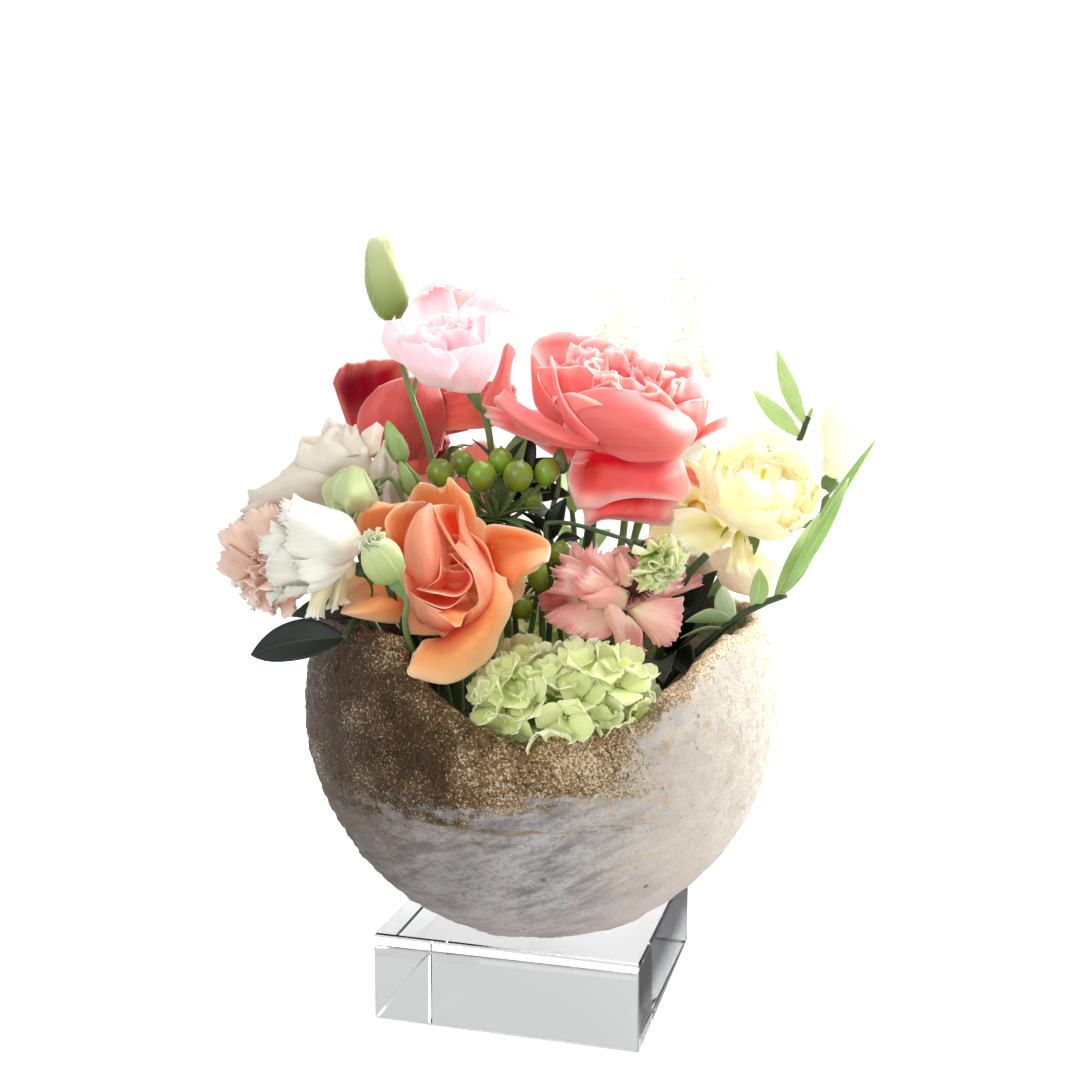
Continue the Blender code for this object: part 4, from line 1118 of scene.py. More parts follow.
@dataclass(frozen=True)
class Bloom:
    """A bloom of whorls round a heart, fused in the source and dressed petal by petal here.

    Core is the radius and height of the green knob inside. A closed bud gives its profile instead,
    and how its petals are wound round it.
    """

    name: str
    core: Pair
    finish: PetalFinish
    slot: str
    whorls: tuple[Whorl, ...]
    hearts: tuple[Heart, ...] = ()
    bud: tuple[Pair, ...] = ()
    wound: tuple[int, float, float] = (3, 0.9, 0.16)
    thickness: float = 0.45

    def build(self) -> bpy.types.Object:
        """Builds every petal and hands the bloom to the frame."""
        chance = random.Random(self.name)
        seat = SEATS[self.name]
        skin = Skin()
        if self.bud:
            skin.turned(self.bud, seat.matrix(), 96, 1.0, wound=self.wound)
        else:
            skin.turned(egg_profile(*self.core), seat.matrix() @ Matrix.Translation((0, 0, 0.4)), 14)
        for heart in self.hearts:
            for grid, depth in heart.grids(chance):
                skin.blade(seat.carry(grid), self.thickness, depth, chance.random())
        for whorl in self.whorls:
            for index in range(whorl.count):
                grid = whorl.grid(index, chance)
                skin.blade(seat.carry(grid), self.thickness, whorl.depth, chance.random())
        for petal in LAID.get(self.name, ()):
            grid = petal.grid(chance) + np.array(seat.base)
            skin.blade(grid, self.thickness, petal.depth, chance.random())
        return skin.piece(f"{self.name}_petals", self.finish, self.slot)


ORANGE = PetalFinish(
    "orange_petal_finish", heart=paint(236, 76, 44), root=paint(222, 70, 30), body=paint(241, 148, 98),
    margin=paint(250, 196, 150), back=paint(240, 150, 126), odd=paint(234, 160, 108), oddness=0.7, painted_glow=0.08,
)
CORAL = PetalFinish(
    "coral_petal_finish", heart=paint(238, 84, 88), root=paint(212, 28, 54), body=paint(238, 112, 110),
    margin=paint(252, 200, 198), back=paint(240, 126, 122), root_reach=0.4, painted_glow=0.1,
)
RED = PetalFinish(
    "red_petal_finish", heart=paint(118, 24, 40), root=paint(164, 44, 56), body=paint(204, 82, 84),
    margin=paint(212, 100, 102), back=paint(214, 96, 94), painted_glow=0.03,
)
CREAM = PetalFinish(
    "cream_petal_finish", heart=paint(218, 190, 160), root=paint(198, 182, 150), body=paint(226, 212, 194),
    margin=paint(234, 222, 206), back=paint(222, 208, 190), vein=0.16,
)
PINK = PetalFinish(
    "pink_petal_finish", heart=paint(232, 128, 142), root=paint(240, 220, 198), body=paint(248, 196, 202),
    margin=paint(252, 228, 232), back=paint(244, 208, 216), vein=0.14, painted_glow=0.14,
)
WHITE = PetalFinish(
    "white_petal_finish", heart=paint(228, 216, 176), root=paint(222, 220, 172), body=paint(242, 239, 226),
    margin=paint(245, 243, 233), back=paint(240, 238, 224), vein=0.14, root_reach=0.25, glow=0.12, painted_glow=0.02,
)
STOCK = replace(
    WHITE, name="stock_petal_finish", root=paint(246, 242, 212), body=paint(246, 244, 234), painted_glow=0.36
)
PEACH = PetalFinish(
    "peach_petal_finish", heart=paint(226, 128, 84), root=paint(226, 146, 106), body=paint(240, 190, 162),
    margin=paint(242, 218, 204), back=paint(226, 192, 176), vein=0.3, painted_glow=0.06,
)
BLUSH = PetalFinish(
    "blush_petal_finish", heart=paint(196, 104, 96), root=paint(244, 220, 178), body=paint(241, 174, 162),
    margin=paint(232, 146, 146), back=paint(243, 188, 178), odd=paint(247, 210, 192), oddness=0.6,
    vein=0.3, painted_glow=0.08,
)
PALE_GREEN = PetalFinish(
    "pale_green_petal_finish", heart=paint(150, 172, 96), root=paint(132, 158, 80),
    body=paint(200, 210, 156), margin=paint(228, 232, 202), back=paint(192, 204, 146), root_reach=0.7,
    painted_glow=0.0,
)
BUTTER = PetalFinish(
    "butter_petal_finish", heart=paint(206, 160, 50), root=paint(216, 204, 92), body=paint(250, 240, 188),
    margin=paint(253, 248, 214), back=paint(250, 240, 190), vein=0.14, root_reach=0.3, glow=0.5, painted_glow=0.16,
)
RUFFLED = replace(
    PALE_GREEN, name="ruffled_bud_finish", heart=paint(120, 146, 60), root=paint(150, 178, 80),
    body=paint(208, 216, 146), margin=paint(224, 228, 172), back=paint(196, 208, 132), painted_glow=0.03,
)
TULIP = replace(
    CREAM, name="tulip_petal_finish", heart=paint(238, 238, 206), root=paint(226, 232, 176),
    body=paint(242, 238, 220), margin=paint(246, 244, 232), back=paint(242, 238, 222), painted_glow=0.22,
)
SHY_PEACH = replace(
    CREAM, name="shy_peach_petal_finish", root=paint(240, 214, 186), body=paint(244, 222, 198),
    back=paint(244, 224, 202), painted_glow=0.1,
)

# The petals that the camera sees best. Each point was set over an enlarged part of the
# photograph, with a depth of its own, and is given in whole millimetres from its bloom's seat.
LAID: dict[str, tuple[LaidPetal, ...]] = {
    "orange_rose": (
        LaidPetal((
            (-16, 7, 19, -9, 9, 17, 0, 9, 17, 11, 5, 13), (-17, -3, 30, -9, 3, 27, 0, 3, 27, 9, -3, 20),
            (-14, -11, 36, -8, -3, 35, 1, -5, 36, 8, -9, 27),
            (-11, -15, 39, -8, -9, 39, -2, -9, 41, 5, -13, 35),
        ), depth=0.9, notch=0.3, ruffle=0.6, curl=1.5),
        LaidPetal((
            (-28, -3, 9, -23, -1, 10, -18, 1, 11), (-33, -15, 20, -27, -9, 21, -19, -1, 21),
            (-33, -19, 28, -26, -13, 30, -16, -3, 29), (-28, -15, 33, -23, -9, 33, -15, -3, 32),
        ), ruffle=0.8, curl=2),
        LaidPetal((
            (-21, -9, 10, -17, -5, 12, -12, -1, 15), (-22, -23, 22, -19, -13, 22, -14, -3, 21),
            (-22, -25, 28, -18, -15, 28, -12, -5, 28), (-18, -21, 32, -14, -13, 33, -9, -7, 32),
        ), depth=0.8, ruffle=0.5, curl=1),
        LaidPetal((
            (-12, -5, -9, -14, -1, -6, -15, -1, 1, -17, -1, 7),
            (-20, -17, -11, -21, -23, -2, -24, -7, 3, -27, -3, 8),
            (-31, -21, -9, -29, -29, -3, -32, -11, 3, -35, -5, 9),
            (-40, -21, -7, -39, -23, -5, -39, -15, 0, -39, -7, 8),
        ), depth=0.7, ruffle=0.6),
        LaidPetal((
            (-8, -7, -15, -11, -11, -13, -13, -9, -11, -16, -5, -7),
            (-11, -23, -4, -14, -25, -2, -17, -19, 0, -21, -9, 5),
            (-13, -29, 2, -15, -31, 4, -18, -25, 7, -19, -15, 13),
            (-14, -29, 6, -16, -29, 10, -18, -23, 13, -19, -17, 18),
        ), depth=0.8, curl=0.6),
        LaidPetal((
            (4, -5, -14, 0, -9, -16, -5, -9, -16, -11, -5, -14),
            (6, -25, -7, 1, -35, -7, -5, -33, -7, -12, -23, -6),
            (8, -31, -4, 1, -39, -3, -6, -37, -1, -13, -29, 2),
        ), depth=0.75, curl=0.3),
        LaidPetal((
            (8, -32, -4, 2, -40, -2, -5, -37, -3), (6, -39, -4, 3, -44, -4, 0, -43, -5),
            (5, -44, -7, 4, -45, -7, 3, -45, -7),
        ), depth=1.0),
        LaidPetal((
            (5, -11, 3, 0, -11, 0, -6, -11, 0, -10, -13, 2),
            (7, -25, -1, -1, -27, -2, -8, -25, -1, -14, -25, 2),
            (6, -34, 3, 0, -40, -1, -8, -38, 1, -15, -31, 4),
        ), depth=0.12, curl=0.3),
        LaidPetal((
            (1, -3, 8, 3, -1, 5, 2, 1, 2, -1, 1, 3, -5, -1, 6),
            (2, -13, 11, 6, -13, 6, 3, -13, 1, -3, -15, 2, -9, -17, 4),
            (0, -27, 16, 8, -31, 8, 4, -37, 3, -4, -38, 4, -11, -35, 5),
        ), depth=0.1, curl=0.4),
        LaidPetal((
            (-10, -13, 0, -7, -9, 0, -5, -7, 1), (-6, -21, 3, -3, -17, 4, 0, -9, 7),
            (-8, -29, 4, -3, -31, 8, -2, -27, 11), (-6, -33, 6, -3, -35, 9, -3, -27, 15),
        ), depth=0.35),
        LaidPetal((
            (-2, -13, 3, -5, -23, 1, -9, -23, 1, -14, -19, 1),
            (-1, -11, 10, -5, -35, 12, -10, -35, 12, -16, -23, 11),
            (-1, -7, 16, -6, -33, 22, -11, -37, 23, -16, -23, 21),
            (-4, -11, 24, -6, -27, 29, -9, -33, 31, -12, -23, 30),
            (-6, -15, 30, -6, -23, 33, -7, -25, 34, -8, -23, 33),
        ), depth=0.55),
        LaidPetal((
            (2, -13, 15, 2, -5, 15, 3, -1, 16), (-1, -21, 21, 0, -5, 21, 3, -1, 22),
            (-4, -23, 28, -2, -5, 27, 2, -1, 28), (-6, -23, 33, -3, -9, 32, 2, -3, 31),
        ), depth=0.05),
        LaidPetal((
            (-5, -24, 31, -5, -25, 29, -4, -25, 29), (-3, -25, 26, -1, -27, 23, 0, -27, 23),
            (0, -27, 21, 2, -31, 19, 3, -31, 19), (5, -31, 15, 8, -34, 12, 10, -33, 13),
        ), depth=1.0),
        LaidPetal((
            (16, -23, 5, 12, -27, 11, 8, -27, 15), (10, -19, 17, 7, -23, 19, 4, -21, 19),
            (6, -15, 23, 4, -19, 24, 3, -17, 26), (4, -11, 31, 3, -11, 32, 3, -11, 31),
        ), depth=0.8),
        LaidPetal((
            (5, -3, 17, 10, -7, 12, 15, -13, 6), (7, -13, 22, 13, -21, 18, 16, -25, 10),
        ), depth=0.1),
        LaidPetal((
            (3, -9, 21, 10, -13, 17, 16, -17, 9, 16, -19, -2, 10, -19, -10, 4, -17, -13),
            (3, -21, 20, 8, -29, 16, 13, -33, 9, 14, -35, 1, 9, -33, -5, 6, -27, -8),
            (2, -25, 19, 6, -33, 15, 9, -37, 11, 11, -37, 2, 10, -36, -1, 7, -33, -4),
        ), depth=0.9, curl=-0.3),
        LaidPetal((
            (11, -9, 10, 10, -13, -3, 6, -15, -9, 3, -15, -12, -2, -15, -16, -4, -15, -17, -5, -15, -17),
            (16, -21, 9, 16, -33, 0, 14, -37, -7, 9, -40, -12, 1, -41, -17, -8, -39, -16, -9, -33, -14),
            (19, -27, 7, 23, -31, 0, 20, -35, -10, 15, -37, -20, 1, -41, -28, -14, -41, -25, -13, -35, -18),
        ), depth=1.0, ruffle=0.9, frill=0.35, curl=0.8, columns=44),
        LaidPetal((
            (11, -1, 16, 12, -3, 13, 14, -9, 9, 16, -13, 7),
            (13, -9, 24, 18, -3, 16, 21, -23, 7, 22, -21, 2),
            (23, -15, 24, 27, -11, 17, 27, -37, 12, 25, -25, 6),
            (32, -17, 22, 36, -21, 18, 35, -37, 15, 31, -29, 10),
        ), depth=0.95, ruffle=0.4, curl=0.6),
    ),
    "coral_rose": (
        LaidPetal((
            (-3, -18, 3, -11, -20, 9, -17, -20, 13, -20, -18, 16),
            (0, -26, 1, -5, -36, 9, -11, -36, 18, -15, -24, 24),
            (6, -30, -1, 5, -44, 9, 3, -44, 18, -5, -32, 27),
            (14, -30, -1, 16, -44, 7, 15, -42, 17, 5, -32, 26),
            (23, -22, -1, 27, -32, 7, 24, -32, 15, 15, -24, 24),
            (29, -10, 1, 33, -12, 7, 33, -12, 12, 25, -12, 20),
        ), depth=0.75, columns=30, lines=34, curl=0.5),
        LaidPetal((
            (4, -20, 21, -4, -22, 20, -14, -20, 17, -22, -12, 14),
            (2, -20, 27, -7, -24, 28, -17, -22, 27, -27, -14, 26),
            (1, -16, 32, -12, -22, 35, -19, -20, 35, -29, -12, 35),
        ), depth=0.6, ruffle=1.2, frill=0.5, curl=0.8),
        LaidPetal((
            (-18, -18, 16, -19, -14, 13, -20, -8, 10), (-22, -18, 20, -26, -14, 20, -30, -6, 19),
            (-29, -16, 30, -31, -12, 33, -32, -4, 33), (-28, -12, 36, -30, -8, 39, -32, -2, 41),
        ), depth=0.5),
        LaidPetal((
            (-5, -26, 4, -4, -28, 4, -5, -26, 3), (-15, -24, 9, -15, -34, 6, -15, -32, 4),
            (-27, -20, 15, -27, -32, 10, -26, -28, 6), (-37, -14, 20, -37, -24, 15, -35, -20, 10),
            (-43, -8, 25, -46, -14, 22, -44, -12, 18),
        ), depth=1.0, ruffle=0.6, curl=1.0),
        LaidPetal((
            (-24, -22, 4, -25, -20, 6, -27, -18, 10), (-35, -18, 7, -38, -20, 13, -43, -16, 18),
            (-47, -10, 12, -50, -10, 15, -52, -6, 20),
        ), depth=0.7, ruffle=0.8),
        LaidPetal((
            (-35, -6, 12, -43, -6, 13, -49, -4, 12), (-40, -2, 26, -46, -6, 24, -52, 0, 20),
            (-40, 4, 35, -43, 0, 35, -46, 4, 33), (-38, 8, 41, -41, 6, 46, -43, 8, 44),
        ), depth=1.0, ruffle=0.5),
        LaidPetal((
            (-28, 0, 33, -19, 4, 33, -9, 6, 33, 1, 6, 33),
            (-32, 8, 41, -22, 16, 42, -11, 18, 42, 2, 14, 40),
            (-28, 12, 47, -20, 20, 50, -10, 22, 49, 0, 18, 46),
        ), depth=0.7, ruffle=1.0, frill=0.4, curl=1.0),
        LaidPetal((
            (-17, -10, 33, -9, -12, 32, 0, -12, 30), (-18, -4, 38, -9, -6, 37, -1, -8, 33),
            (-16, 2, 44, -7, 0, 42, -1, -4, 38),
        ), depth=1.0, ruffle=1.0, frill=0.6),
        LaidPetal((
            (-6, -20, 28, -14, -20, 27, -23, -16, 27), (-7, -18, 34, -14, -18, 35, -21, -14, 35),
            (-8, -14, 38, -14, -14, 37, -19, -12, 37),
        ), depth=1.0, ruffle=0.8, frill=0.6),
        LaidPetal((
            (-1, -8, 27, 7, -8, 26, 12, -6, 27), (0, 0, 38, 6, 4, 37, 12, 2, 35),
            (-1, 10, 44, 5, 12, 43, 10, 10, 40),
        ), depth=0.9, ruffle=1.0, frill=0.4),
        LaidPetal((
            (16, -20, 21, 8, -24, 21, 0, -22, 22), (17, -18, 23, 8, -22, 26, 0, -22, 27),
            (18, -14, 25, 8, -18, 30, 1, -16, 32),
        ), depth=0.9, ruffle=0.6),
        LaidPetal((
            (9, -8, 23, 15, -10, 22, 22, -8, 21), (8, -6, 30, 15, -8, 28, 23, -8, 23),
            (9, 0, 36, 14, -4, 32, 23, -6, 25),
        ), depth=1.0, ruffle=0.8, frill=0.5),
        LaidPetal((
            (12, 6, 26, 23, 8, 25, 34, 6, 27), (10, 14, 35, 23, 16, 32, 36, 12, 31),
            (11, 16, 40, 22, 20, 37, 36, 18, 36),
        ), depth=0.6, ruffle=0.8, frill=0.4),
        LaidPetal((
            (19, -14, 17, 30, -8, 17, 39, 0, 18), (20, -14, 25, 29, -10, 23, 40, 2, 24),
            (23, -4, 28, 32, 0, 31, 42, 8, 30),
        ), depth=1.0, ruffle=1.2, frill=0.6),
        LaidPetal((
            (17, -2, 24, 22, -2, 25, 26, -2, 26), (17, 0, 29, 20, 0, 29, 26, 0, 29),
            (18, 4, 32, 21, 4, 32, 25, 4, 31),
        ), depth=1.0, ruffle=0.8),
        LaidPetal((
            (39, 6, 8, 35, 2, 4, 31, -2, 2), (40, 4, 14, 34, -8, 14, 26, -16, 16),
            (41, 4, 22, 33, -8, 22, 26, -14, 20),
        ), depth=1.0, ruffle=0.4),
        LaidPetal((
            (36, 6, 8, 34, 2, 5, 31, 0, 2), (42, 8, 12, 41, 4, 10, 40, 0, 7),
            (50, 10, 15, 50, 6, 13, 49, 4, 11),
        ), depth=1.0),
        LaidPetal((
            (28, -16, -1, 16, -20, -2, 5, -18, -1, -4, -16, 1, -14, -14, 2),
            (29, -26, -6, 15, -34, -7, 2, -26, -6, -7, -4, -7, -17, -22, -6),
            (31, -26, -13, 13, -38, -12, 1, -36, -12, -9, -24, -13, -17, -26, -12),
            (28, -28, -17, 11, -38, -15, 1, -36, -16, -7, -28, -20, -14, -22, -21),
        ), depth=0.85, curl=0.5, ruffle=0.5, columns=34),
        LaidPetal((
            (27, -22, -17, 10, -28, -15, 0, -26, -15, -12, -20, -19),
            (24, -26, -23, 11, -34, -21, 0, -32, -21, -11, -24, -24),
            (23, -24, -27, 13, -30, -26, -1, -28, -24, -11, -20, -29),
        ), depth=0.6, ruffle=0.5),
        LaidPetal((
            (26, -16, -2, 28, -18, -6, 30, -18, -9), (32, -12, -5, 32, -14, -8, 33, -14, -12),
            (37, -6, -8, 37, -8, -10, 37, -8, -14),
        ), depth=1.0, ruffle=0.5),
    ),
    "red_rose": (
        # Nearly the heart's dark crimson, as painted shade on this outer petal at the left.
        LaidPetal((
            (-40, -10, 9, -34, -12, 10, -25, -12, 12, -12, -8, 13),
            (-44, -14, 26, -39, -4, 23, -30, 0, 25, -15, 0, 29),
            (-44, -22, 31, -40, -10, 33, -31, -4, 35, -15, -2, 38),
            (-40, -28, 37, -36, -18, 39, -29, -8, 40, -15, -4, 42),
        ), depth=0.1, curl=2.5, ruffle=0.8, frill=0.4),
        LaidPetal((
            (0, -20, 4, -12, -26, 0, -23, -26, 0, -34, -20, 2),
            (2, -26, 14, -11, -36, 16, -23, -34, 16, -35, -24, 13),
            (1, -26, 24, -11, -34, 27, -23, -32, 26, -33, -22, 22),
            (-2, -22, 31, -10, -26, 34, -18, -24, 33, -26, -18, 30),
        ), depth=0.7, curl=1.0),
        LaidPetal((
            (11, -14, 12, 1, -18, 10, -12, -14, 7), (14, -14, 22, 1, -20, 25, -12, -12, 23),
            (10, -8, 29, -1, -14, 35, -12, -8, 36),
        ), depth=1.0, curl=1.0),
        LaidPetal((
            (-6, -18, -6, -11, -20, -7, -16, -18, -7), (0, -22, 7, -9, -28, 5, -20, -20, 5),
            (0, -20, 13, -9, -26, 12, -21, -20, 12),
        ), depth=0.6),
        LaidPetal((
            (-4, -20, 12, -1, -18, 21, 1, -20, 28), (9, -28, 13, 12, -32, 23, 13, -28, 32),
            (20, -30, 14, 23, -34, 24, 23, -28, 33), (28, -26, 17, 32, -28, 25, 31, -24, 31),
        ), depth=0.95, ruffle=0.8, frill=0.3),
    ),
    "pink_lisianthus": (
        LaidPetal((
            (3, -4, -1, -3, -10, -1, -10, -6, 0), (7, -6, 5, -2, -22, 6, -13, -16, 6),
            (11, -6, 13, -2, -26, 11, -14, -20, 11), (14, -2, 20, 2, -24, 17, -10, -20, 15),
        ), depth=0.9, ruffle=0.5, frill=0.3),
        LaidPetal((
            (-7, -14, 1, -12, -14, 1, -19, -10, 2), (-7, -28, 5, -16, -26, 7, -26, -14, 10),
            (-4, -30, 10, -18, -28, 13, -29, -12, 15), (-8, -28, 15, -20, -24, 18, -29, -10, 18),
        ), depth=0.8, ruffle=1.2, frill=0.8, curl=0.5, fringe=0.05),
        LaidPetal((
            (-26, -8, 19, -26, -8, 13, -23, -4, 8), (-28, -6, 24, -31, -10, 18, -32, -2, 12),
            (-32, 4, 28, -35, -2, 22, -36, 4, 17), (-32, 10, 30, -35, 8, 27, -37, 10, 24),
        ), ruffle=1.0, frill=0.5, curl=-1.5),
        LaidPetal((
            (-9, -22, 12, -17, -20, 13, -26, -14, 12), (-9, -20, 18, -19, -18, 20, -28, -10, 20),
            (-11, -12, 21, -19, -10, 23, -26, -6, 22),
        ), depth=0.5, ruffle=1.0, frill=0.6),
        LaidPetal((
            (0, -10, 17, -8, -14, 16, -16, -10, 16), (-1, -8, 19, -10, -12, 20, -22, -6, 22),
            (-2, -2, 22, -11, -4, 24, -20, 0, 26),
        ), depth=0.3, ruffle=0.8, frill=0.6),
        LaidPetal((
            (-22, -2, 20, -16, 6, 20, -9, 10, 20), (-29, 6, 26, -19, 18, 30, -7, 22, 30),
            (-26, 14, 34, -20, 24, 41, -10, 28, 42), (-21, 18, 39, -14, 24, 42, -4, 28, 40),
        ), ruffle=1.0, frill=0.8),
        LaidPetal((
            (-12, 18, 22, -5, 20, 23, 2, 18, 22), (-15, 32, 32, -5, 34, 34, 5, 32, 32),
            (-14, 34, 40, -5, 36, 42, 5, 34, 39),
        ), depth=0.8, ruffle=0.6, frill=0.5),
        LaidPetal((
            (-9, 10, 20, -1, 10, 20, 7, 6, 19), (-8, 24, 30, 4, 26, 32, 17, 18, 27),
            (-2, 30, 37, 6, 30, 40, 17, 22, 32),
        ), ruffle=1.0, frill=0.8),
        LaidPetal((
            (1, -6, 15, 6, -6, 15, 11, -2, 16), (2, 0, 23, 10, 4, 23, 17, 14, 22),
            (4, 8, 29, 12, 14, 31, 19, 20, 26),
        ), ruffle=0.8, frill=0.6),
        LaidPetal((
            (-11, -4, 19, -4, -4, 20, 3, 0, 21), (-12, -2, 24, -4, -2, 25, 3, 2, 25),
            (-9, 2, 29, -4, 2, 29, 2, 4, 28),
        ), ruffle=0.8, frill=0.6),
    ),
    "cream_rose": (
        LaidPetal((
            (-13, -22, 16, -11, -28, 13, -11, -28, 9, -12, -20, 2),
            (-23, -22, 22, -22, -38, 17, -23, -38, 10, -23, -24, 2),
            (-35, -14, 22, -35, -34, 15, -36, -34, 9, -36, -22, 1),
            (-45, -8, 14, -46, -26, 9, -48, -26, 5, -50, -18, -2),
            (-54, -6, 9, -55, -14, 7, -57, -14, 2, -59, -10, -2),
        ), depth=0.9, ruffle=1.5, frill=0.6, waves=4, columns=34, lines=28),
        LaidPetal((
            (-5, -18, 17, -7, -28, 15, -10, -32, 14, -13, -30, 10),
            (-7, -20, 25, -14, -32, 25, -20, -38, 21, -25, -36, 17),
            (-12, -12, 30, -21, -22, 29, -28, -26, 25, -35, -22, 20),
            (-14, -4, 33, -20, -8, 32, -29, -8, 28, -36, -6, 25),
        ), ruffle=2.2, frill=0.5, waves=4, columns=34, lines=26),
        LaidPetal((
            (-9, -28, 24, -14, -34, 23, -18, -34, 21), (-10, -18, 29, -14, -24, 30, -19, -20, 29),
            (-12, -8, 33, -15, -12, 33, -19, -8, 34),
        ), ruffle=1.5, frill=0.6),
        LaidPetal((
            (-10, -18, 23, -6, -22, 23, -3, -18, 24), (-11, -12, 31, -6, -16, 30, -3, -8, 28),
            (-7, -6, 35, -5, -6, 36, -2, -4, 33),
        ), curl=0.8),
        LaidPetal((
            (2, -20, 10, -1, -26, 7, -6, -22, 9), (4, -20, 18, 0, -32, 19, -6, -26, 18),
            (1, -14, 23, 0, -20, 29, -3, -18, 25),
        ), depth=0.9, ruffle=0.5),
        LaidPetal((
            (5, -28, 5, 3, -32, 5, -1, -26, 5), (5, -28, 10, 2, -34, 12, -1, -26, 12),
            (5, -24, 16, 3, -26, 18, 1, -24, 16),
        )),
        LaidPetal((
            (9, -24, 7, 7, -28, 5, 5, -28, 5), (8, -24, 9, 7, -30, 12, 5, -28, 12),
            (7, -22, 12, 5, -24, 15, 4, -24, 18),
        ), depth=0.8),
        LaidPetal((
            (-38, -18, -1, -37, -18, -8), (-54, -12, -3, -52, -16, -10), (-64, -6, -7, -64, -10, -12),
        ), depth=0.8, ruffle=0.8),
    ),
    "nodding_lisianthus": (
        LaidPetal((
            (-8, -4, 9, -5, -6, 10, -2, -4, 9), (-11, -12, 5, -4, -20, 4, 1, -12, 4),
            (-12, -14, -1, -4, -24, -1, 3, -12, -2), (-11, -10, -6, -5, -16, -8, 1, -8, -7),
        ), ruffle=0.9, frill=0.5, curl=-1),
        LaidPetal((
            (-12, 0, 7, -9, -2, 9, -7, -4, 9), (-17, 2, 3, -12, -8, 3, -8, -14, 4),
            (-18, 2, -1, -13, -8, -1, -10, -12, -2), (-15, -2, -6, -12, -6, -6, -10, -10, -7),
        ), depth=0.3, ruffle=0.6, frill=0.5),
        LaidPetal((
            (-4, -4, 9, -2, -4, 9, -1, 0, 7), (-2, -12, 4, 2, -10, 4, 2, 0, 0),
            (-1, -14, -2, 3, -10, -2, 4, 0, -4), (-2, -10, -8, 1, -8, -7, 3, 0, -5),
        ), depth=0.8, ruffle=0.6, frill=0.5),
    ),
    "white_lisianthus": (
        LaidPetal((
            (1, 0, 13, 2, -4, 11, 2, -6, 9, 1, -4, 6), (-3, -4, 20, -2, -20, 17, -2, -24, 12, -3, -18, 5),
            (-11, -6, 23, -10, -26, 19, -9, -30, 12, -9, -22, 4),
            (-18, -6, 25, -18, -24, 20, -18, -26, 12, -18, -18, 6),
            (-23, -4, 28, -23, -18, 21, -23, -20, 14, -23, -14, 9),
        ), depth=0.95, frill=0.9, ruffle=1.2, fringe=0.1, waves=9, columns=40),
        LaidPetal((
            (-3, -12, 9, -2, -8, 5, 0, -4, 6), (-8, -26, 9, -6, -20, 2, -2, -10, 2),
            (-15, -24, 7, -13, -20, -1, -8, -12, -3), (-21, -18, 6, -19, -14, 0, -18, -8, -7),
        ), frill=0.9, ruffle=1.0, fringe=0.12, waves=8, columns=34),
        LaidPetal((
            (-17, -10, 9, -18, -10, 5, -17, -8, 1), (-26, -10, 14, -28, -12, 9, -25, -10, 3),
            (-34, -4, 12, -35, -8, 9, -30, -8, 4),
        ), frill=1.2, ruffle=1.2, fringe=0.18, waves=9, columns=34),
        LaidPetal((
            (-14, -6, 22, -16, -10, 18, -17, -12, 15), (-22, 0, 24, -24, -6, 21, -24, -8, 17),
            (-28, 4, 26, -28, 0, 22, -28, -2, 16),
        ), frill=1.2, ruffle=1.0, fringe=0.18, waves=9, columns=34),
        LaidPetal((
            (-6, -6, -2, -10, -10, -3, -15, -6, -3), (-9, -4, -9, -12, -12, -9, -17, -4, -9),
            (-13, 0, -15, -15, -6, -18, -20, 0, -16),
        ), depth=0.0, frill=0.9, ruffle=1.6, fringe=0.1, waves=6),
        LaidPetal((
            (-3, -2, 1, -5, -8, -1, -9, -4, -2), (-4, 0, -8, -6, -10, -9, -10, -2, -10),
            (-3, 2, -11, -7, -4, -14, -12, 0, -15),
        ), depth=0.1, frill=0.9, ruffle=1.6, fringe=0.1, waves=6),
    ),
    "blush_lisianthus": (
        LaidPetal((
            (2, -12, -5, -1, -14, -6, -3, -16, -7, -5, -14, -8),
            (8, -12, -4, 4, -19, -8, 1, -21, -11, -1, -18, -13),
            (12, -12, -4, 10, -21, -11, 7, -24, -15, 3, -20, -17),
            (17, -12, -3, 15, -21, -14, 10, -25, -20, 5, -20, -19),
        ), frill=0.9, fringe=0.09, waves=9, ruffle=1.0, columns=36),
        LaidPetal((
            (-15, -24, -2, -13, -28, -1, -10, -24, -3), (-14, -26, -8, -11, -33, -7, -5, -27, -10),
            (-11, -28, -14, -9, -33, -13, -7, -28, -13), (-10, -28, -19, -8, -31, -18, -6, -26, -18),
            (-9, -26, -24, -8, -27, -24, -7, -25, -24),
        ), frill=0.3),
        LaidPetal((
            (-2, -18, -12, -5, -20, -9, -7, -22, -9), (0, -24, -14, -4, -23, -15, -8, -28, -16),
            (0, -26, -19, -3, -25, -22, -8, -28, -23), (2, -27, -21, -2, -29, -24, -6, -28, -24),
        ), depth=0.5, frill=0.8, fringe=0.1, ruffle=0.8),
        LaidPetal((
            (-11, -22, -13, -14, -22, -8, -16, -20, -5, -20, -16, -4),
            (-12, -27, -15, -20, -29, -11, -25, -26, -8, -28, -18, -5),
            (-17, -30, -17, -24, -30, -15, -30, -24, -14, -37, -16, -10),
        ), depth=0.9, frill=2.0, fringe=0.07, waves=9, ruffle=2.2, columns=40),
        LaidPetal((
            (-6, -16, -7, -5, -14, -4, -4, -12, -1), (-11, -25, -6, -11, -29, -1, -12, -22, 3),
            (-15, -27, -5, -20, -31, -1, -20, -24, 1), (-19, -25, -4, -23, -25, -2, -23, -20, 0),
        ), frill=1.0, fringe=0.1, waves=6, ruffle=1.6),
        LaidPetal((
            (-10, -14, -5, -9, -10, 0, -8, -8, 4), (-20, -20, -3, -19, -16, 3, -17, -12, 8),
            (-27, -20, -1, -28, -24, 6, -26, -14, 12), (-33, -16, 1, -32, -20, 6, -30, -12, 12),
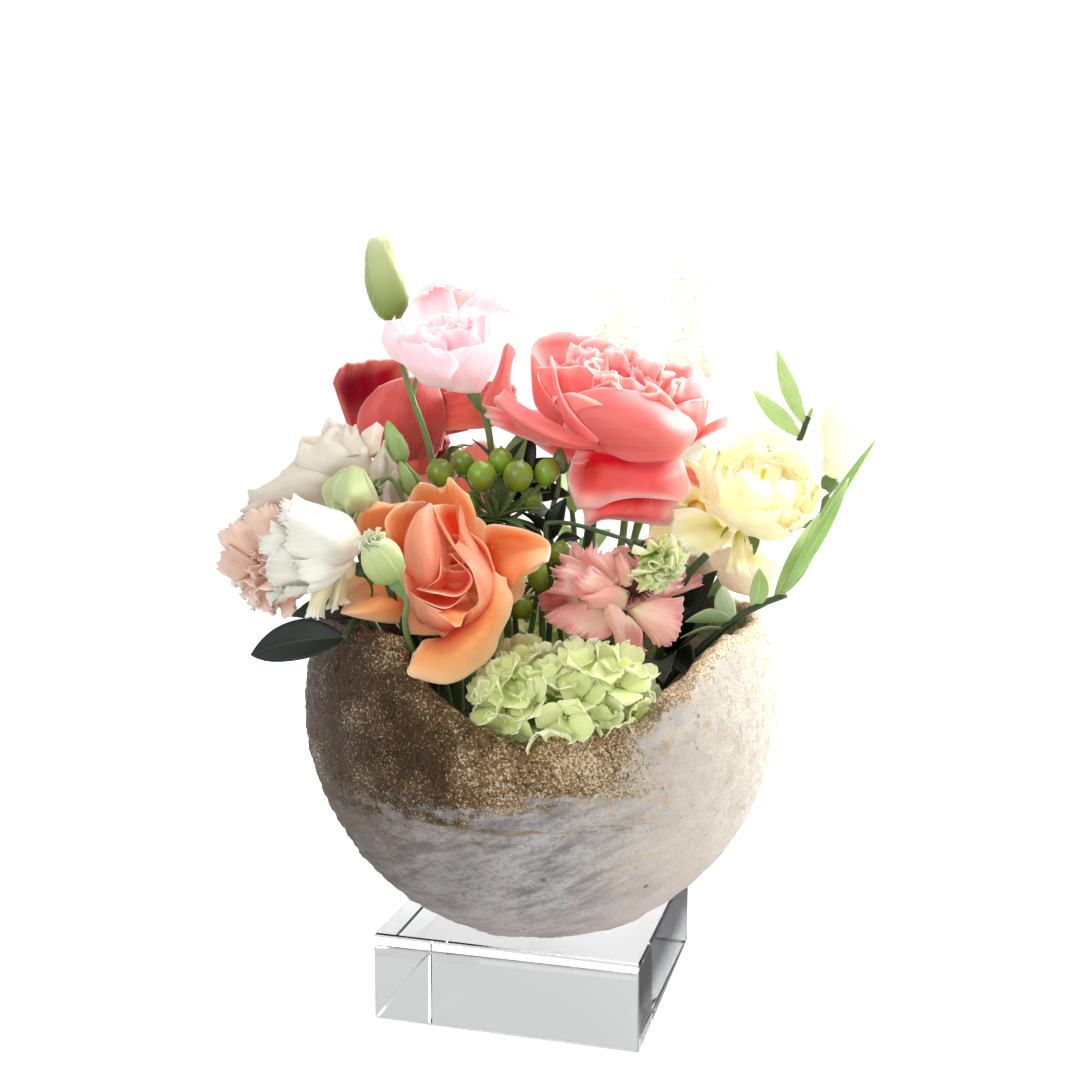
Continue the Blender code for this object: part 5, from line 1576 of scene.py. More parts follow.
        ), depth=0.6, frill=2.2, fringe=0.08, waves=9, ruffle=2.8, columns=40),
        LaidPetal((
            (-11, -8, 1, -8, -8, 1, -6, -8, 2), (-19, -10, 6, -14, -16, 8, -8, -10, 7),
            (-25, -8, 11, -18, -16, 13, -9, -8, 12), (-24, -4, 16, -17, -12, 14, -7, -7, 13),
        ), depth=0.8, frill=2.2, fringe=0.07, waves=9, ruffle=2.4, columns=40),
        LaidPetal((
            (-14, -22, -3, -11, -20, 0, -10, -16, 3), (-22, -26, -1, -20, -30, 4, -15, -22, 7),
            (-26, -22, 3, -24, -27, 7, -19, -21, 8),
        ), depth=0.9, frill=2.0, fringe=0.07, waves=6, ruffle=1.6),
        LaidPetal((
            (-8, -12, 1, -5, -14, 1, -2, -12, 2), (-9, -14, 7, -6, -18, 8, -3, -12, 5),
            (-9, -12, 12, -8, -14, 13, -5, -10, 10),
        ), frill=0.8, fringe=0.1),
        # The heart's darker colour, as painted shade on this far-left petal.
        LaidPetal((
            (-23, -6, -9, -23, -6, -5, -24, -6, -3), (-31, -6, -9, -31, -8, -5, -32, -6, -1),
            (-37, -4, -10, -38, -4, -7, -38, -4, -4),
        ), depth=0.0, frill=0.8, ruffle=1.0),
        LaidPetal((
            (3, -4, -1, 6, -6, -3, 9, -6, -5), (14, -2, 2, 16, -4, 0, 17, -4, -3),
            (24, 0, 4, 25, 0, 2, 24, 0, -1),
        ), frill=0.9, fringe=0.1, ruffle=1.0),
    ),
    "butter_lisianthus": (
        LaidPetal((
            (11, -18, -9, 10, -12, -8, 8, -10, -7, 6, -14, -4),
            (7, -28, -12, 2, -24, -11, -1, -18, -6, 0, -22, 0),
            (2, -32, -15, -5, -32, -12, -8, -26, -7, -6, -24, 2),
            (-2, -32, -18, -10, -35, -14, -14, -31, -7, -14, -26, 1),
        ), frill=0.7, fringe=0.05, waves=6, ruffle=2.0, columns=40),
        LaidPetal((
            (16, -20, -9, 14, -16, -8, 12, -20, -9), (15, -26, -13, 13, -22, -13, 10, -26, -13),
            (15, -28, -19, 11, -32, -19, 9, -28, -19), (17, -28, -26, 12, -32, -24, 8, -28, -24),
        ), depth=0.6, frill=0.5, fringe=0.08, ruffle=0.9),
        LaidPetal((
            (21, -14, -9, 19, -14, -8, 16, -18, -8), (21, -20, -13, 18, -26, -11, 16, -24, -12),
            (22, -22, -16, 18, -28, -15, 16, -24, -15),
        ), depth=0.7, frill=0.6, fringe=0.08, ruffle=1.0),
        LaidPetal((
            (22, -14, -15, 20, -14, -14, 16, -14, -13), (26, -18, -19, 20, -20, -18, 16, -18, -20),
            (30, -18, -21, 23, -20, -23, 18, -18, -24),
        ), frill=0.6, fringe=0.08, ruffle=1.0),
    ),
    "peach_rose": (
        LaidPetal((
            (8, -32, -2, 13, -34, -4, 20, -34, -6, 27, -32, -9),
            (4, -36, 5, 10, -42, 6, 18, -42, 4, 29, -36, 0),
            (1, -34, 10, 10, -38, 15, 20, -38, 13, 31, -34, 8),
        ), ruffle=0.6),
    ),
    "cream_ranunculus": (
        LaidPetal((
            (7, -8, -1, 1, -14, -3, -4, -14, -3, -8, -8, 0),
            (14, -14, 3, 0, -34, 4, -12, -32, 5, -19, -12, 6),
            (16, -14, 8, 1, -38, 9, -13, -36, 9, -20, -10, 13),
        ), depth=0.8, frill=0.5, fringe=0.06, waves=7, ruffle=0.8, columns=40),
        LaidPetal((
            (-12, -30, 8, -14, -26, 7, -17, -18, 7), (-13, -30, 14, -16, -28, 14, -19, -16, 13),
            (-13, -28, 18, -17, -22, 22, -18, -12, 20),
        ), depth=0.6, frill=0.5, fringe=0.06),
        LaidPetal((
            (2, -34, 8, -6, -36, 7, -13, -30, 7), (2, -36, 14, -8, -44, 15, -14, -30, 14),
            (2, -32, 18, -8, -36, 24, -13, -26, 19),
        ), depth=0.75, frill=0.6, fringe=0.06, waves=6, ruffle=0.6),
        LaidPetal((
            (16, -14, 6, 9, -26, 4, 3, -26, 4), (18, -14, 12, 8, -32, 13, 0, -34, 12),
            (19, -10, 18, 6, -28, 19, 1, -30, 16),
        ), depth=0.75, frill=0.6, fringe=0.06, ruffle=0.8),
        LaidPetal((
            (-17, -18, 11, -19, -14, 11, -20, -8, 11), (-18, -16, 20, -20, -12, 20, -21, -2, 19),
            (-14, -6, 29, -16, -2, 31, -18, 4, 29),
        ), depth=0.8, frill=0.4, ruffle=0.6),
        LaidPetal((
            (-13, 0, 19, -1, 4, 19, 9, 6, 19, 20, 4, 18), (-16, 6, 27, 0, 20, 28, 15, 22, 28, 29, 16, 24),
            (-13, 14, 33, 2, 26, 36, 16, 28, 35, 30, 22, 28),
        ), frill=0.7, fringe=0.04, ruffle=1.4, columns=36),
        LaidPetal((
            (-3, -24, 14, 2, -24, 14, 7, -22, 14), (-5, -16, 20, 1, -18, 20, 9, -14, 19),
            (-4, -6, 26, 3, -6, 27, 12, -4, 25),
        ), depth=0.5, frill=0.8, ruffle=1.0),
        LaidPetal((
            (-3, -40, 20, -3, -41, 20, -1, -40, 20), (-3, -40, 23, -2, -42, 23, -1, -41, 23),
            (-2, -40, 25, -1, -41, 26, 0, -40, 25),
        ), depth=0.0, columns=6, lines=6),
    ),
    "peach_carnation": (
        LaidPetal((
            (2, -20, 11, -4, -22, 7, -11, -18, 4), (-1, -24, 20, -7, -28, 17, -15, -22, 14),
            (-4, -22, 24, -9, -24, 23, -16, -20, 20),
        ), frill=0.7, fringe=0.06, ruffle=0.8, depth=0.8),
        LaidPetal((
            (-9, -18, 7, -14, -20, 4, -21, -14, 0), (-12, -24, 15, -19, -24, 11, -26, -16, 7),
            (-16, -20, 18, -23, -20, 15, -28, -14, 12),
        ), frill=0.8, fringe=0.08, ruffle=0.8),
        LaidPetal((
            (-12, -18, 0, -15, -18, -3, -20, -12, -8), (-19, -22, 6, -23, -22, 1, -26, -14, -5),
            (-23, -20, 8, -26, -18, 4, -29, -12, -2),
        ), frill=0.9, fringe=0.1, ruffle=0.8),
    ),
}

CARNATION_TEETH = {"fringe": 2.0, "waves": 5, "columns": 18, "rows": 12}
BUD_CROWN = {"frill": 0.7, "fringe": 0.8, "waves": 4, "lift": 13, "columns": 14, "rows": 8}
BUD_RUFFLES = {"waves": 3, "columns": 18, "rows": 12}

BLOOMS: tuple[Bloom, ...] = (
    Bloom("orange_rose", (6, 16), ORANGE, "orange_petal", (
        Whorl(5, 26, 32, 66, 84, 2.0, 1.0, 20, depth=0.9),
    ), (Heart(6, 2.0, 9.0, 17, tilt=24, wrap_outer=150),)),
    Bloom("coral_rose", (9, 22), CORAL, "coral_petal", (
        Whorl(6, 40, 30, 38, 4, 0.6, 2.2, 0, frill=0.7, depth=0.35),
        Whorl(7, 42, 34, 56, -2, 0.8, 2.2, 25, frill=0.7, depth=0.45),
        Whorl(1, 50, 70, 84, -6, 1.0, 0.8, 0),
        Whorl(1, 50, 60, 90, -2, 1.5, 0.6, 290),
        Whorl(1, 48, 60, 90, -2, 1.5, 0.6, 240),
        Whorl(1, 40, 46, 100, 64, 2.5, 1.0, 300),
    ), (Heart(8, 2.0, 10.0, 30, ruffle=1.4, frill=0.5),)),
    Bloom("red_rose", (8, 20), RED, "red_petal", (
        Whorl(4, 34, 32, 24, 8, 1.0, 0.4, 30, depth=0.3),
        Whorl(4, 36, 38, 38, 14, 2.0, 1.0, 10, late=1.5),
    ), (Heart(6, 2.0, 9.0, 26),)),
    Bloom("cream_rose", (8, 20), CREAM, "cream_petal", (
        Whorl(4, 44, 38, 20, 6, 1.0, 2.0, 40, depth=0.7),
        Whorl(5, 41, 38, 34, 14, 2.0, 2.4, 12, frill=0.4),
    ), (Heart(6, 2.0, 9.0, 32),)),
    Bloom("pink_lisianthus", (6, 15), PINK, "pink_petal", (
        Whorl(4, 27, 22, 14, 0, 0.6, 1.4, 40, frill=0.6, depth=0.3),
        Whorl(5, 30, 30, 38, 2, 1.4, 1.6, 0, frill=0.6, depth=0.6),
    ), (Heart(6, 1.8, 7.0, 24, ruffle=0.8, frill=0.3),)),
    Bloom("white_lisianthus", (5.5, 14), WHITE, "white_petal", (
        Whorl(4, 30, 24, 18, 4, 1.0, 1.6, 20, frill=0.8, fringe=2.5, waves=9, depth=0.7),
        Whorl(4, 33, 30, 32, 10, 1.0, 2.0, 0, frill=1.0, fringe=2.5, waves=10),
    )),
    Bloom("peach_carnation", (5, 11), PEACH, "peach_petal", (
        Whorl(6, 23, 18, 12, 6, 0.5, 2.2, 30, frill=1.2, depth=0.4, **CARNATION_TEETH),
        Whorl(7, 25, 20, 28, 16, 0.8, 2.4, 10, frill=1.3, depth=0.6, **CARNATION_TEETH),
        Whorl(8, 26, 21, 44, 32, 1.0, 2.4, 50, frill=1.3, depth=0.8, **CARNATION_TEETH),
        Whorl(8, 26, 22, 60, 52, 1.0, 2.4, 20, frill=1.3, **CARNATION_TEETH),
        Whorl(7, 25, 22, 76, 74, 1.0, 2.4, 0, frill=1.3, **CARNATION_TEETH),
    )),
    Bloom("blush_lisianthus", (4, 7), BLUSH, "blush_petal", (
        Whorl(5, 17, 21, 58, 76, -1.0, 2.6, 20, frill=1.2, fringe=1.6, waves=6),
    )),
    Bloom("nodding_lisianthus", (4.5, 12), PALE_GREEN, "pale_green_petal", (
        Whorl(4, 18, 16, 20, 2, 1.0, 1.0, 30, frill=0.5, columns=18, rows=14),
    )),
    Bloom("tall_bud", (5.5, 27), PALE_GREEN, "pale_green_petal", (), bud=(
        (0, 0), (3.2, 0.2), (5.4, 2), (6.9, 5), (7.7, 8.5), (8.1, 12), (8.1, 15.5), (7.7, 19), (7.0, 22.5),
        (6.7, 26), (6.2, 29), (5.7, 31.5), (5.0, 33.2), (3.5, 33.9), (1.6, 33.0), (0, 32.4),
    ), wound=(3, 1.1, 0.24)),
    Bloom("green_bud", (4.5, 12), PALE_GREEN, "pale_green_petal", (
        Whorl(6, 7, 7.5, 2, 34, 0.6, 0.8, 0, ring=2.4, **BUD_CROWN),
        Whorl(5, 6, 6, 0, 10, 0.4, 0.8, 20, ring=1.4, **BUD_CROWN),
    ), bud=(
        (0, 0), (2.8, 0.2), (4.8, 1.4), (6.2, 3.4), (7.0, 6), (7.2, 8.6), (6.8, 11), (5.8, 13.2), (4.6, 15),
        (3.6, 16.4), (2.0, 16.6), (0, 16),
    ), wound=(8, 0.35, 0.1)),
    Bloom("ruffled_bud", (4.5, 9), RUFFLED, "pale_green_petal", (
        Whorl(5, 13, 12, 12, 4, 1.0, 2.4, 0, frill=1.4, fringe=0.4, depth=0.6, **BUD_RUFFLES),
        Whorl(5, 14, 13, 28, 12, 1.0, 2.6, 30, frill=1.5, fringe=0.5, **BUD_RUFFLES),
        Whorl(5, 13, 14, 46, 28, 1.0, 2.8, 10, frill=1.5, fringe=0.5, **BUD_RUFFLES),
        Whorl(5, 11, 12, 68, 52, 1.0, 2.4, 40, frill=1.2, fringe=0.5, depth=0.8, **BUD_RUFFLES),
    )),
    Bloom("cream_ranunculus", (7, 12), BUTTER, "butter_petal", (
        Whorl(6, 33, 34, 74, -18, 0.2, 1.0, 50, frill=0.5, notch=1.0, depth=0.8, columns=20, rows=16),
        Whorl(5, 37, 40, 84, -10, 0.6, 1.4, 200, frill=0.7, notch=1.5, columns=20, rows=16),
    ), (Heart(12, 3.4, 16.0, 23, 190, 105, 0.3, 0.9, 0.4, belly=0.85, depth=0.7, columns=18),)),
    Bloom("butter_lisianthus", (4, 7), BUTTER, "butter_petal", (
        Whorl(3, 26, 28, 66, 84, 1.0, 2.4, 100, frill=0.8, fringe=1.2),
    )),
    Bloom("cream_tulip", (6, 13), TULIP, "cream_petal", (
        Whorl(3, 31, 27, 26, -8, 0.0, 0.4, 0, depth=0.7),
        Whorl(3, 34, 31, 46, -8, 0.0, 0.4, 60),
    )),
    Bloom("peach_rose", (7, 15), SHY_PEACH, "peach_petal", (
        Whorl(5, 31, 32, 34, 8, 2.0, 0.6, 40),
        Whorl(4, 28, 26, 20, 4, 1.0, 0.6, 0, depth=0.6),
    )),
    Bloom("back_rose", (8, 15), CORAL, "coral_petal", (
        Whorl(5, 34, 34, 26, 8, 2.0, 0.8, 40, depth=0.6),
        Whorl(5, 38, 42, 42, 16, 3.0, 1.0, 10),
        Whorl(5, 40, 42, 62, 50, 3.0, 1.2, 46),
    ), (Heart(8, 2.0, 9.0, 27),)),
    Bloom("back_lisianthus", (6, 15), WHITE, "white_petal", (
        Whorl(4, 32, 28, 22, 4, 1.0, 1.6, 10, frill=0.6, depth=0.6),
        Whorl(5, 36, 40, 42, 8, 2.0, 2.0, 40, frill=0.8),
        Whorl(5, 36, 38, 58, 40, 2.0, 2.0, 0, frill=0.8),
    )),
)


FOAM_TOP = 122.0
HOLE_FLOOR = 102.0
KNUCKLE_SPACING = 26.0
WIDEST_CALYX = 4.0


def planted_line(points: Sequence[Triple], hole: Pair, steps: int = 8) -> list[Vector]:
    """Returns a smooth line through points that ends straight down in a hole in the foam."""
    line = smooth_line([*points, (*hole, FOAM_TOP + 12)], steps)
    return [*line, Vector((*hole, FOAM_TOP)), Vector((*hole, HOLE_FLOOR))]


def stem_along(line: Sequence[Vector], radius: float) -> tuple[Sequence[Vector], list[float]]:
    """Returns a line with the radii of a stem that swells at its joints and narrows upwards."""
    made = []
    run = 0.0
    for k, point in enumerate(line):
        run += (point - line[k - 1]).length if k else 0.0
        joint = math.exp(-(((run % KNUCKLE_SPACING) - KNUCKLE_SPACING / 2) / 2.2) ** 2)
        made.append(radius * (0.88 + 0.12 * min(1.0, run / 60) + 0.16 * joint))
    return line, made


def standing(foot: Vector, way: Vector) -> Matrix:
    """Returns the matrix that stands local +Z on a foot, along a way."""
    return Matrix.Translation(foot) @ way.to_track_quat("Z", "Y").to_matrix().to_4x4()


def ball(count: int, low: float = -1.0) -> Iterable[Vector]:
    """Yields ways spread evenly over a unit ball, from its top down to a height of low."""
    for k in range(count):
        z = 1 - (1 - low) * (k + 0.5) / count
        ring = math.sqrt(1 - z * z)
        turn = math.radians(GOLDEN_TURN) * k
        yield Vector((ring * math.cos(turn), ring * math.sin(turn), z))


@dataclass(frozen=True)
class Leaf:
    """A leaf from its base to its tip.

    Droop is how far its middle stands above the straight line, and roll turns it on that line.
    """

    base: Triple
    tip: Triple
    width: float
    droop: float = 0.0
    roll: float = 0.0
    peak: float = 0.45
    fold: float = 0.25
    wave: float = 0.0
    columns: int = 10
    rows: int = 22

    def grid(self) -> np.ndarray:
        """Returns rows of points from base to tip."""
        base = Vector(self.base)
        run = Vector(self.tip) - base
        side = run.cross(Vector((0, 0, 1)))
        if side.length < 0.05 * run.length:
            side = Vector((1, 0, 0))
        side.normalize()
        side.rotate(Matrix.Rotation(math.radians(self.roll), 4, run.normalized()))
        over = side.cross(run).normalized()
        s = np.linspace(-1, 1, self.columns + 1)[None, :, None]
        t = np.linspace(0, 1, self.rows + 1)[:, None, None]
        shape = np.sin(math.pi * np.clip(t, 0.004, 0.996) ** (math.log(0.5) / math.log(self.peak))) ** 0.8
        half = self.width / 2 * shape
        lift = self.droop * 4 * t * (1 - t) + self.fold * np.abs(s) ** 1.4 * half
        lift = lift + self.wave * s * np.sin(9 * t) * half
        return np.array(base) + np.array(run) * t + np.array(side) * (s * half) + np.array(over) * lift


def add_sepals(skin: Skin, place: Matrix, count: int, ends: tuple[Pair, Pair], sepal: Leaf,
               thickness: float, first: float = 0.5, hand: int = 1) -> None:
    """Adds a ring of sepals.

    Args:
        skin: The piece that they join.
        place: The middle of the ring, with +Z along the bloom's axis.
        count: The number of sepals.
        ends: How far out and how high each one's base is, and its tip.
        sepal: A leaf with their width and curve, whose own ends aren't used.
        thickness: Their thickness.
        first: Where the first one stands, as a share of the step between two.
        hand: 1 to go round one way and -1 to go round the other.
    """
    for k in range(count):
        angle = 2 * math.pi * (k + first) / count
        way = Vector((math.cos(angle), hand * math.sin(angle), 0))
        base, tip = (tuple(place @ (way * reach + Vector((0, 0, height)))) for reach, height in ends)
        skin.blade(replace(sepal, base=base, tip=tip).grid(), thickness)


ORIGIN = (0.0, 0.0, 0.0)
CALYX_SEPAL = Leaf(ORIGIN, ORIGIN, 4.6, 2.0, fold=0.35, peak=0.32, columns=6, rows=12)
BUD_SEPAL = Leaf(ORIGIN, ORIGIN, 2.2, -1.2, columns=4, rows=10)
BERRY_SEPAL = Leaf(ORIGIN, ORIGIN, 3.0, 0.8, columns=4, rows=8)


@dataclass(frozen=True)
class Stalk:
    """The green stem under a bloom, with the calyx and the sepals that hold it."""

    name: str
    radius: float
    hole: Pair
    lead: float
    sepals: int = 5
    reflex: float = 9.0
    via: tuple[Triple, ...] = ()
    deep: bool = False

    def build(self) -> bpy.types.Object:
        """Builds the stem from its calyx down to the foam."""
        seat = SEATS[self.name]
        axis = facing(seat.azimuth, seat.elevation)
        base = Vector(seat.base)
        line = planted_line([base - axis * 4, base - axis * self.lead, *self.via], self.hole)
        skin = Skin()
        green = DEEP_GREEN if self.deep else STEM_GREEN
        skin.tubes([stem_along(line, self.radius)], green)
        cup = min(WIDEST_CALYX, self.radius * 2)
        calyx = [
            (0, -8.0), (self.radius * 0.9, -8.0), (self.radius * 1.1, -6.6), (cup * 0.72, -4.6),
            (cup, -2.4), (cup * 1.06, -0.4), (cup * 0.8, 1.0), (0, 1.4),
        ]
        skin.turned(calyx, seat.matrix(), 18)
        ends = ((cup - 0.8, -1.4), (cup + self.reflex, -self.reflex * 0.55))
        add_sepals(skin, seat.matrix(), self.sepals, ends, CALYX_SEPAL, 0.5, hand=-1)
        return skin.piece(f"{self.name}_stem", green, "stem")


STEM_GREEN = PlantFinish("stem_finish", paint(104, 132, 76), patches=0.5, roughness=0.42)
DEEP_GREEN = replace(STEM_GREEN, name="deep_stem_finish", colour=paint(54, 76, 42))
BUD_GREEN = replace(STEM_GREEN, name="bud_stem_finish", colour=paint(142, 166, 98))
FOAM_GREEN = PlantFinish(
    "foam_finish", paint(24, 44, 22), grain=1.2, grain_scale=1600.0, roughness=0.95, depth=0.002
)
BERRY_SKIN = PlantFinish(
    "berry_finish", paint(122, 146, 42), patches=1.1, roughness=0.28, coat=0.35, depth=0.00005, glow=0.15
)
RUSCUS_LEAF = LeafFinish(
    "ruscus_leaf_finish", paint(152, 176, 110), paint(196, 212, 164), paint(184, 200, 158),
    side_veins=4.0, glow=0.3,
)
DARK_LEAF = LeafFinish(
    "dark_leaf_finish", paint(15, 28, 17), paint(44, 62, 38), paint(36, 52, 32), roughness=0.46
)
LIME = PetalFinish(
    "lime_floret_finish", heart=paint(124, 146, 52), root=paint(196, 212, 104), body=paint(216, 226, 140),
    margin=paint(236, 240, 190), back=paint(218, 228, 152), odd=paint(252, 248, 224), oddness=0.9,
    vein=0.3, painted_glow=0.05,
)
MAROON_HAIR = PlantFinish("maroon_hair_finish", paint(84, 28, 34), patches=0.5, roughness=0.7)

STALKS: tuple[Stalk, ...] = (
    Stalk("orange_rose", 2.2, (-26, -44), 14),
    Stalk("coral_rose", 2.6, (16, 0), 30, deep=True),
    Stalk("red_rose", 2.3, (-22, 14), 20),
    Stalk("cream_rose", 2.3, (-34, -14), 20),
    Stalk("pink_lisianthus", 1.5, (-12, -16), 26, sepals=0),
    Stalk("white_lisianthus", 1.4, (-44, -62), 8, via=((-55, -79, 184), (-51, -71, 168)), deep=True),
    Stalk("peach_carnation", 1.5, (-52, -22), 14, reflex=3.0),
    Stalk("blush_lisianthus", 1.4, (24, -36), 12, reflex=6.0),
    Stalk("nodding_lisianthus", 1.1, (-36, -42), 5, reflex=2.0, via=((-56, -54, 221), (-50, -52, 204))),
    Stalk("green_bud", 1.25, (-38, -74), 10, sepals=0, via=((-48, -87, 168),)),
    Stalk("ruffled_bud", 0.9, (12, -44), 9, reflex=2.0, via=((6, -64, 206), (2, -60, 196)), deep=True),
    Stalk("cream_ranunculus", 1.8, (44, -14), 26),
    Stalk("butter_lisianthus", 1.4, (32, 2), 12),
    Stalk("cream_tulip", 1.8, (54, 28), 20, sepals=0, via=((90, 32, 194), (62, 32, 176))),
    Stalk("peach_rose", 1.8, (46, 10), 12),
    Stalk("back_rose", 2.0, (-34, 28), 14),
    Stalk("back_lisianthus", 1.5, (28, 42), 16),
)


BUD_PROFILE: tuple[Pair, ...] = (
    (0, 0), (0.5, 0), (0.9, 0.14), (1, 0.34), (0.86, 0.58), (0.55, 0.8), (0.28, 0.94), (0, 1),
)


@dataclass(frozen=True)
class BudBranch:
    """A stem that carries closed buds: each bud's foot, top and radius, on its own short stalk."""

    node: str
    lines: tuple[tuple[tuple[Triple, ...], float], ...]
    hole: Pair
    buds: tuple[tuple[Triple, Triple, float], ...]
    green: PlantFinish = STEM_GREEN

    def build(self) -> bpy.types.Object:
        """Builds the branch, and its buds with their narrow sepals."""
        paths = []
        for k, (points, radius) in enumerate(self.lines):
            line = planted_line(points, self.hole) if k == 0 else smooth_line(points)
            paths.append(stem_along(line, radius))
        skin = Skin()
        skin.tubes(paths, self.green)
        for foot, top, radius in self.buds:
            rise = Vector(top) - Vector(foot)
            place = standing(Vector(foot), rise)
            height = rise.length
            profile = [(radius * out, height * up) for out, up in BUD_PROFILE]
            skin.turned(profile, place, 36, wound=(3, 0.7, 0.14))
            add_sepals(skin, place, 4, ((radius * 0.5, 0), (radius + 0.8, height * 0.6)), BUD_SEPAL, 0.4)
        return skin.piece(self.node, self.green, "stem")


@dataclass(frozen=True)
class Spray:
    """A leafy stem: each leaf gives its share of the way down, tip, width, droop and roll."""

    node: str
    points: tuple[Triple, ...]
    hole: Pair
    radius: float
    leaves: tuple[tuple[float, Triple, float, float, float], ...]
    finish: LeafFinish
    slot: str
    thickness: float = 0.6

    def build(self) -> bpy.types.Object:
        """Builds the twig and its leaves as a piece each."""
        coarse = planted_line(self.points, self.hole, 2)
        del coarse[-2]
        line = planted_line(self.points, self.hole)
        twig = Skin()
        twig.tubes([stem_along(line, self.radius)], DEEP_GREEN)
        twig.piece(self.node, DEEP_GREEN, "stem", "twig")
        skin = Skin()
        chance = random.Random(self.node)
        for share, tip, width, droop, roll in self.leaves:
            place = share * (len(coarse) - 1)
            step = min(int(place), len(coarse) - 2)
            root = coarse[step].lerp(coarse[step + 1], place - step)
            leaf = Leaf(tuple(root), tip, width, droop, roll, wave=0.06)
            skin.blade(leaf.grid(), self.thickness, 1.0, chance.random())
        return skin.piece(self.node, self.finish, self.slot, "leaves")


@dataclass(frozen=True)
class BerrySpray:
    """A hypericum spray: a stem, a stalk to each berry, the berries and small leaves at its crown."""

    node: str
    berries: tuple[tuple[Triple, float], ...]
    crown: Triple
    hole: Pair
    leaves: tuple[tuple[Triple, float], ...]
    radius: float = 1.4
    stalk_radius: float = 0.85
    tallness: float = 2.15

    def build(self) -> bpy.types.Object:
        """Builds the stalks and leaves as one piece and the berries as another."""
        crown = Vector(self.crown)
        halfway = (crown + Vector((*self.hole, FOAM_TOP))) / 2
        paths = [stem_along(planted_line([self.crown, tuple(halfway)], self.hole), self.radius)]
        green = Skin()
        fruit = Skin()
        for centre, radius in self.berries:
            middle = Vector(centre)
            way = (middle - crown).normalized()
            way = (way + Vector((0, 0, 0.8))).normalized()
            foot = middle - way * radius * 1.05
            bend = crown.lerp(foot, 0.6) + Vector((0, 0, -1.5))
            stalk = smooth_line([self.crown, tuple(bend), tuple(foot)], 6)
            last = len(stalk) - 1
            paths.append((stalk, [self.stalk_radius + 0.35 * (k / last) ** 4 for k in range(last + 1)]))
            place = standing(foot, way)
            profile = egg_profile(radius, radius * self.tallness, 16, -0.12)
            profile[-2] = (profile[-2][0] * 0.7, profile[-2][1] + radius * 0.05)
            profile[-1] = (0.0, radius * self.tallness + radius * 0.22)
            fruit.turned(profile, place, 24)
            add_sepals(green, place, 5, ((0.6, 0.1), (radius * 0.95, -0.4)), BERRY_SEPAL, 0.4, first=0)
        for tip, width in self.leaves:
            green.blade(Leaf(self.crown, tip, width, 2.0, columns=6, rows=12).grid(), 0.5)
        green.tubes(paths, STEM_GREEN, 10)
        green.piece(self.node, STEM_GREEN, "stem", "stalks")
        return fruit.piece(self.node, BERRY_SKIN, "hypericum", "berries")


def grown_copies(copy: Skin, places: Sequence[tuple[Vector, Vector, float, float]], finish: Finish,
                 jitter: float, seed: int) -> bpy.types.Mesh:
    """Copies a shape on points by Geometry Nodes.

    Args:
        copy: The shape, standing on the origin with +Z outwards, in millimetres.
        places: Each point, the way that it faces, its spin in radians and its size.
        finish: The finish of the copies.
        jitter: How much the sizes vary.
        seed: The seed of the variation.

    Returns:
        One plain mesh.
    """
    original = bpy.data.objects.new("copy", copy.mesh("copy"))
    bpy.context.scene.collection.objects.link(original)
    turns = []
    for _, way, spin, _ in places:
        turn = way.to_track_quat("Z", "Y").to_matrix() @ Matrix.Rotation(spin, 3, "Z")
        turns.append(tuple(turn.to_euler()))
    cloud = points_mesh([point for point, *_ in places], turns, [size for *_, size in places])
    made = Growth.SCATTER.grow(cloud, Copy=original, Jitter=jitter, Seed=seed, Finish=finish.material())
    bpy.data.objects.remove(original)
    return made


def sepal_floret(reach: float, count: int, cup: float, chance: random.Random) -> Skin:
    """Returns a floret of broad rounded sepals round a bead with a ring."""
    floret = Skin()
    s = np.linspace(-1, 1, 6)[None, :]
    t = np.linspace(0, 1, 6)[:, None]
    for k in range(count):
        angle = 2 * math.pi * k / count + chance.uniform(-0.12, 0.12)
        size = reach * chance.uniform(0.9, 1.08)
        half = size * 0.62 * np.sin(np.minimum(1, t / 0.7) * math.pi / 2) ** 0.7
        half = half * np.sqrt(1 - 0.78 * np.clip((t - 0.6) / 0.4, 0, 1) ** 2.2)
        out = 0.8 + size * t * (1 - 0.1 * s**2 * t)
        side = s * half
        lift = size * (0.42 * cup * t**1.4 - 0.26 * t**4) + 0.2 * size * s**2 * t
        lift = lift + 0.05 * size * np.sin(5 * s + 3 * k) * t**2 + (0.35 if k % 2 else 0.0)
        x = out * math.cos(angle) - side * math.sin(angle)
        y = out * math.sin(angle) + side * math.cos(angle)
        floret.blade(np.stack([x, y, lift + np.zeros_like(x)], -1), 0.35)
    floret.turned([(0, -0.4), (0.7, -0.2), (0.8, 0.4), (0.6, 0.8), (0.35, 0.5), (0, 0.6)], Matrix(), 6)
    return floret


# Each size of hydrangea floret: its sepals' reach and cup, how deep it sits, and its step among the places.
FLORET_KINDS = ((9.2, 1.3, 1.2, 2), (7.6, 2.3, 2.0, 2), (4.2, 2.4, 3.4, 1))


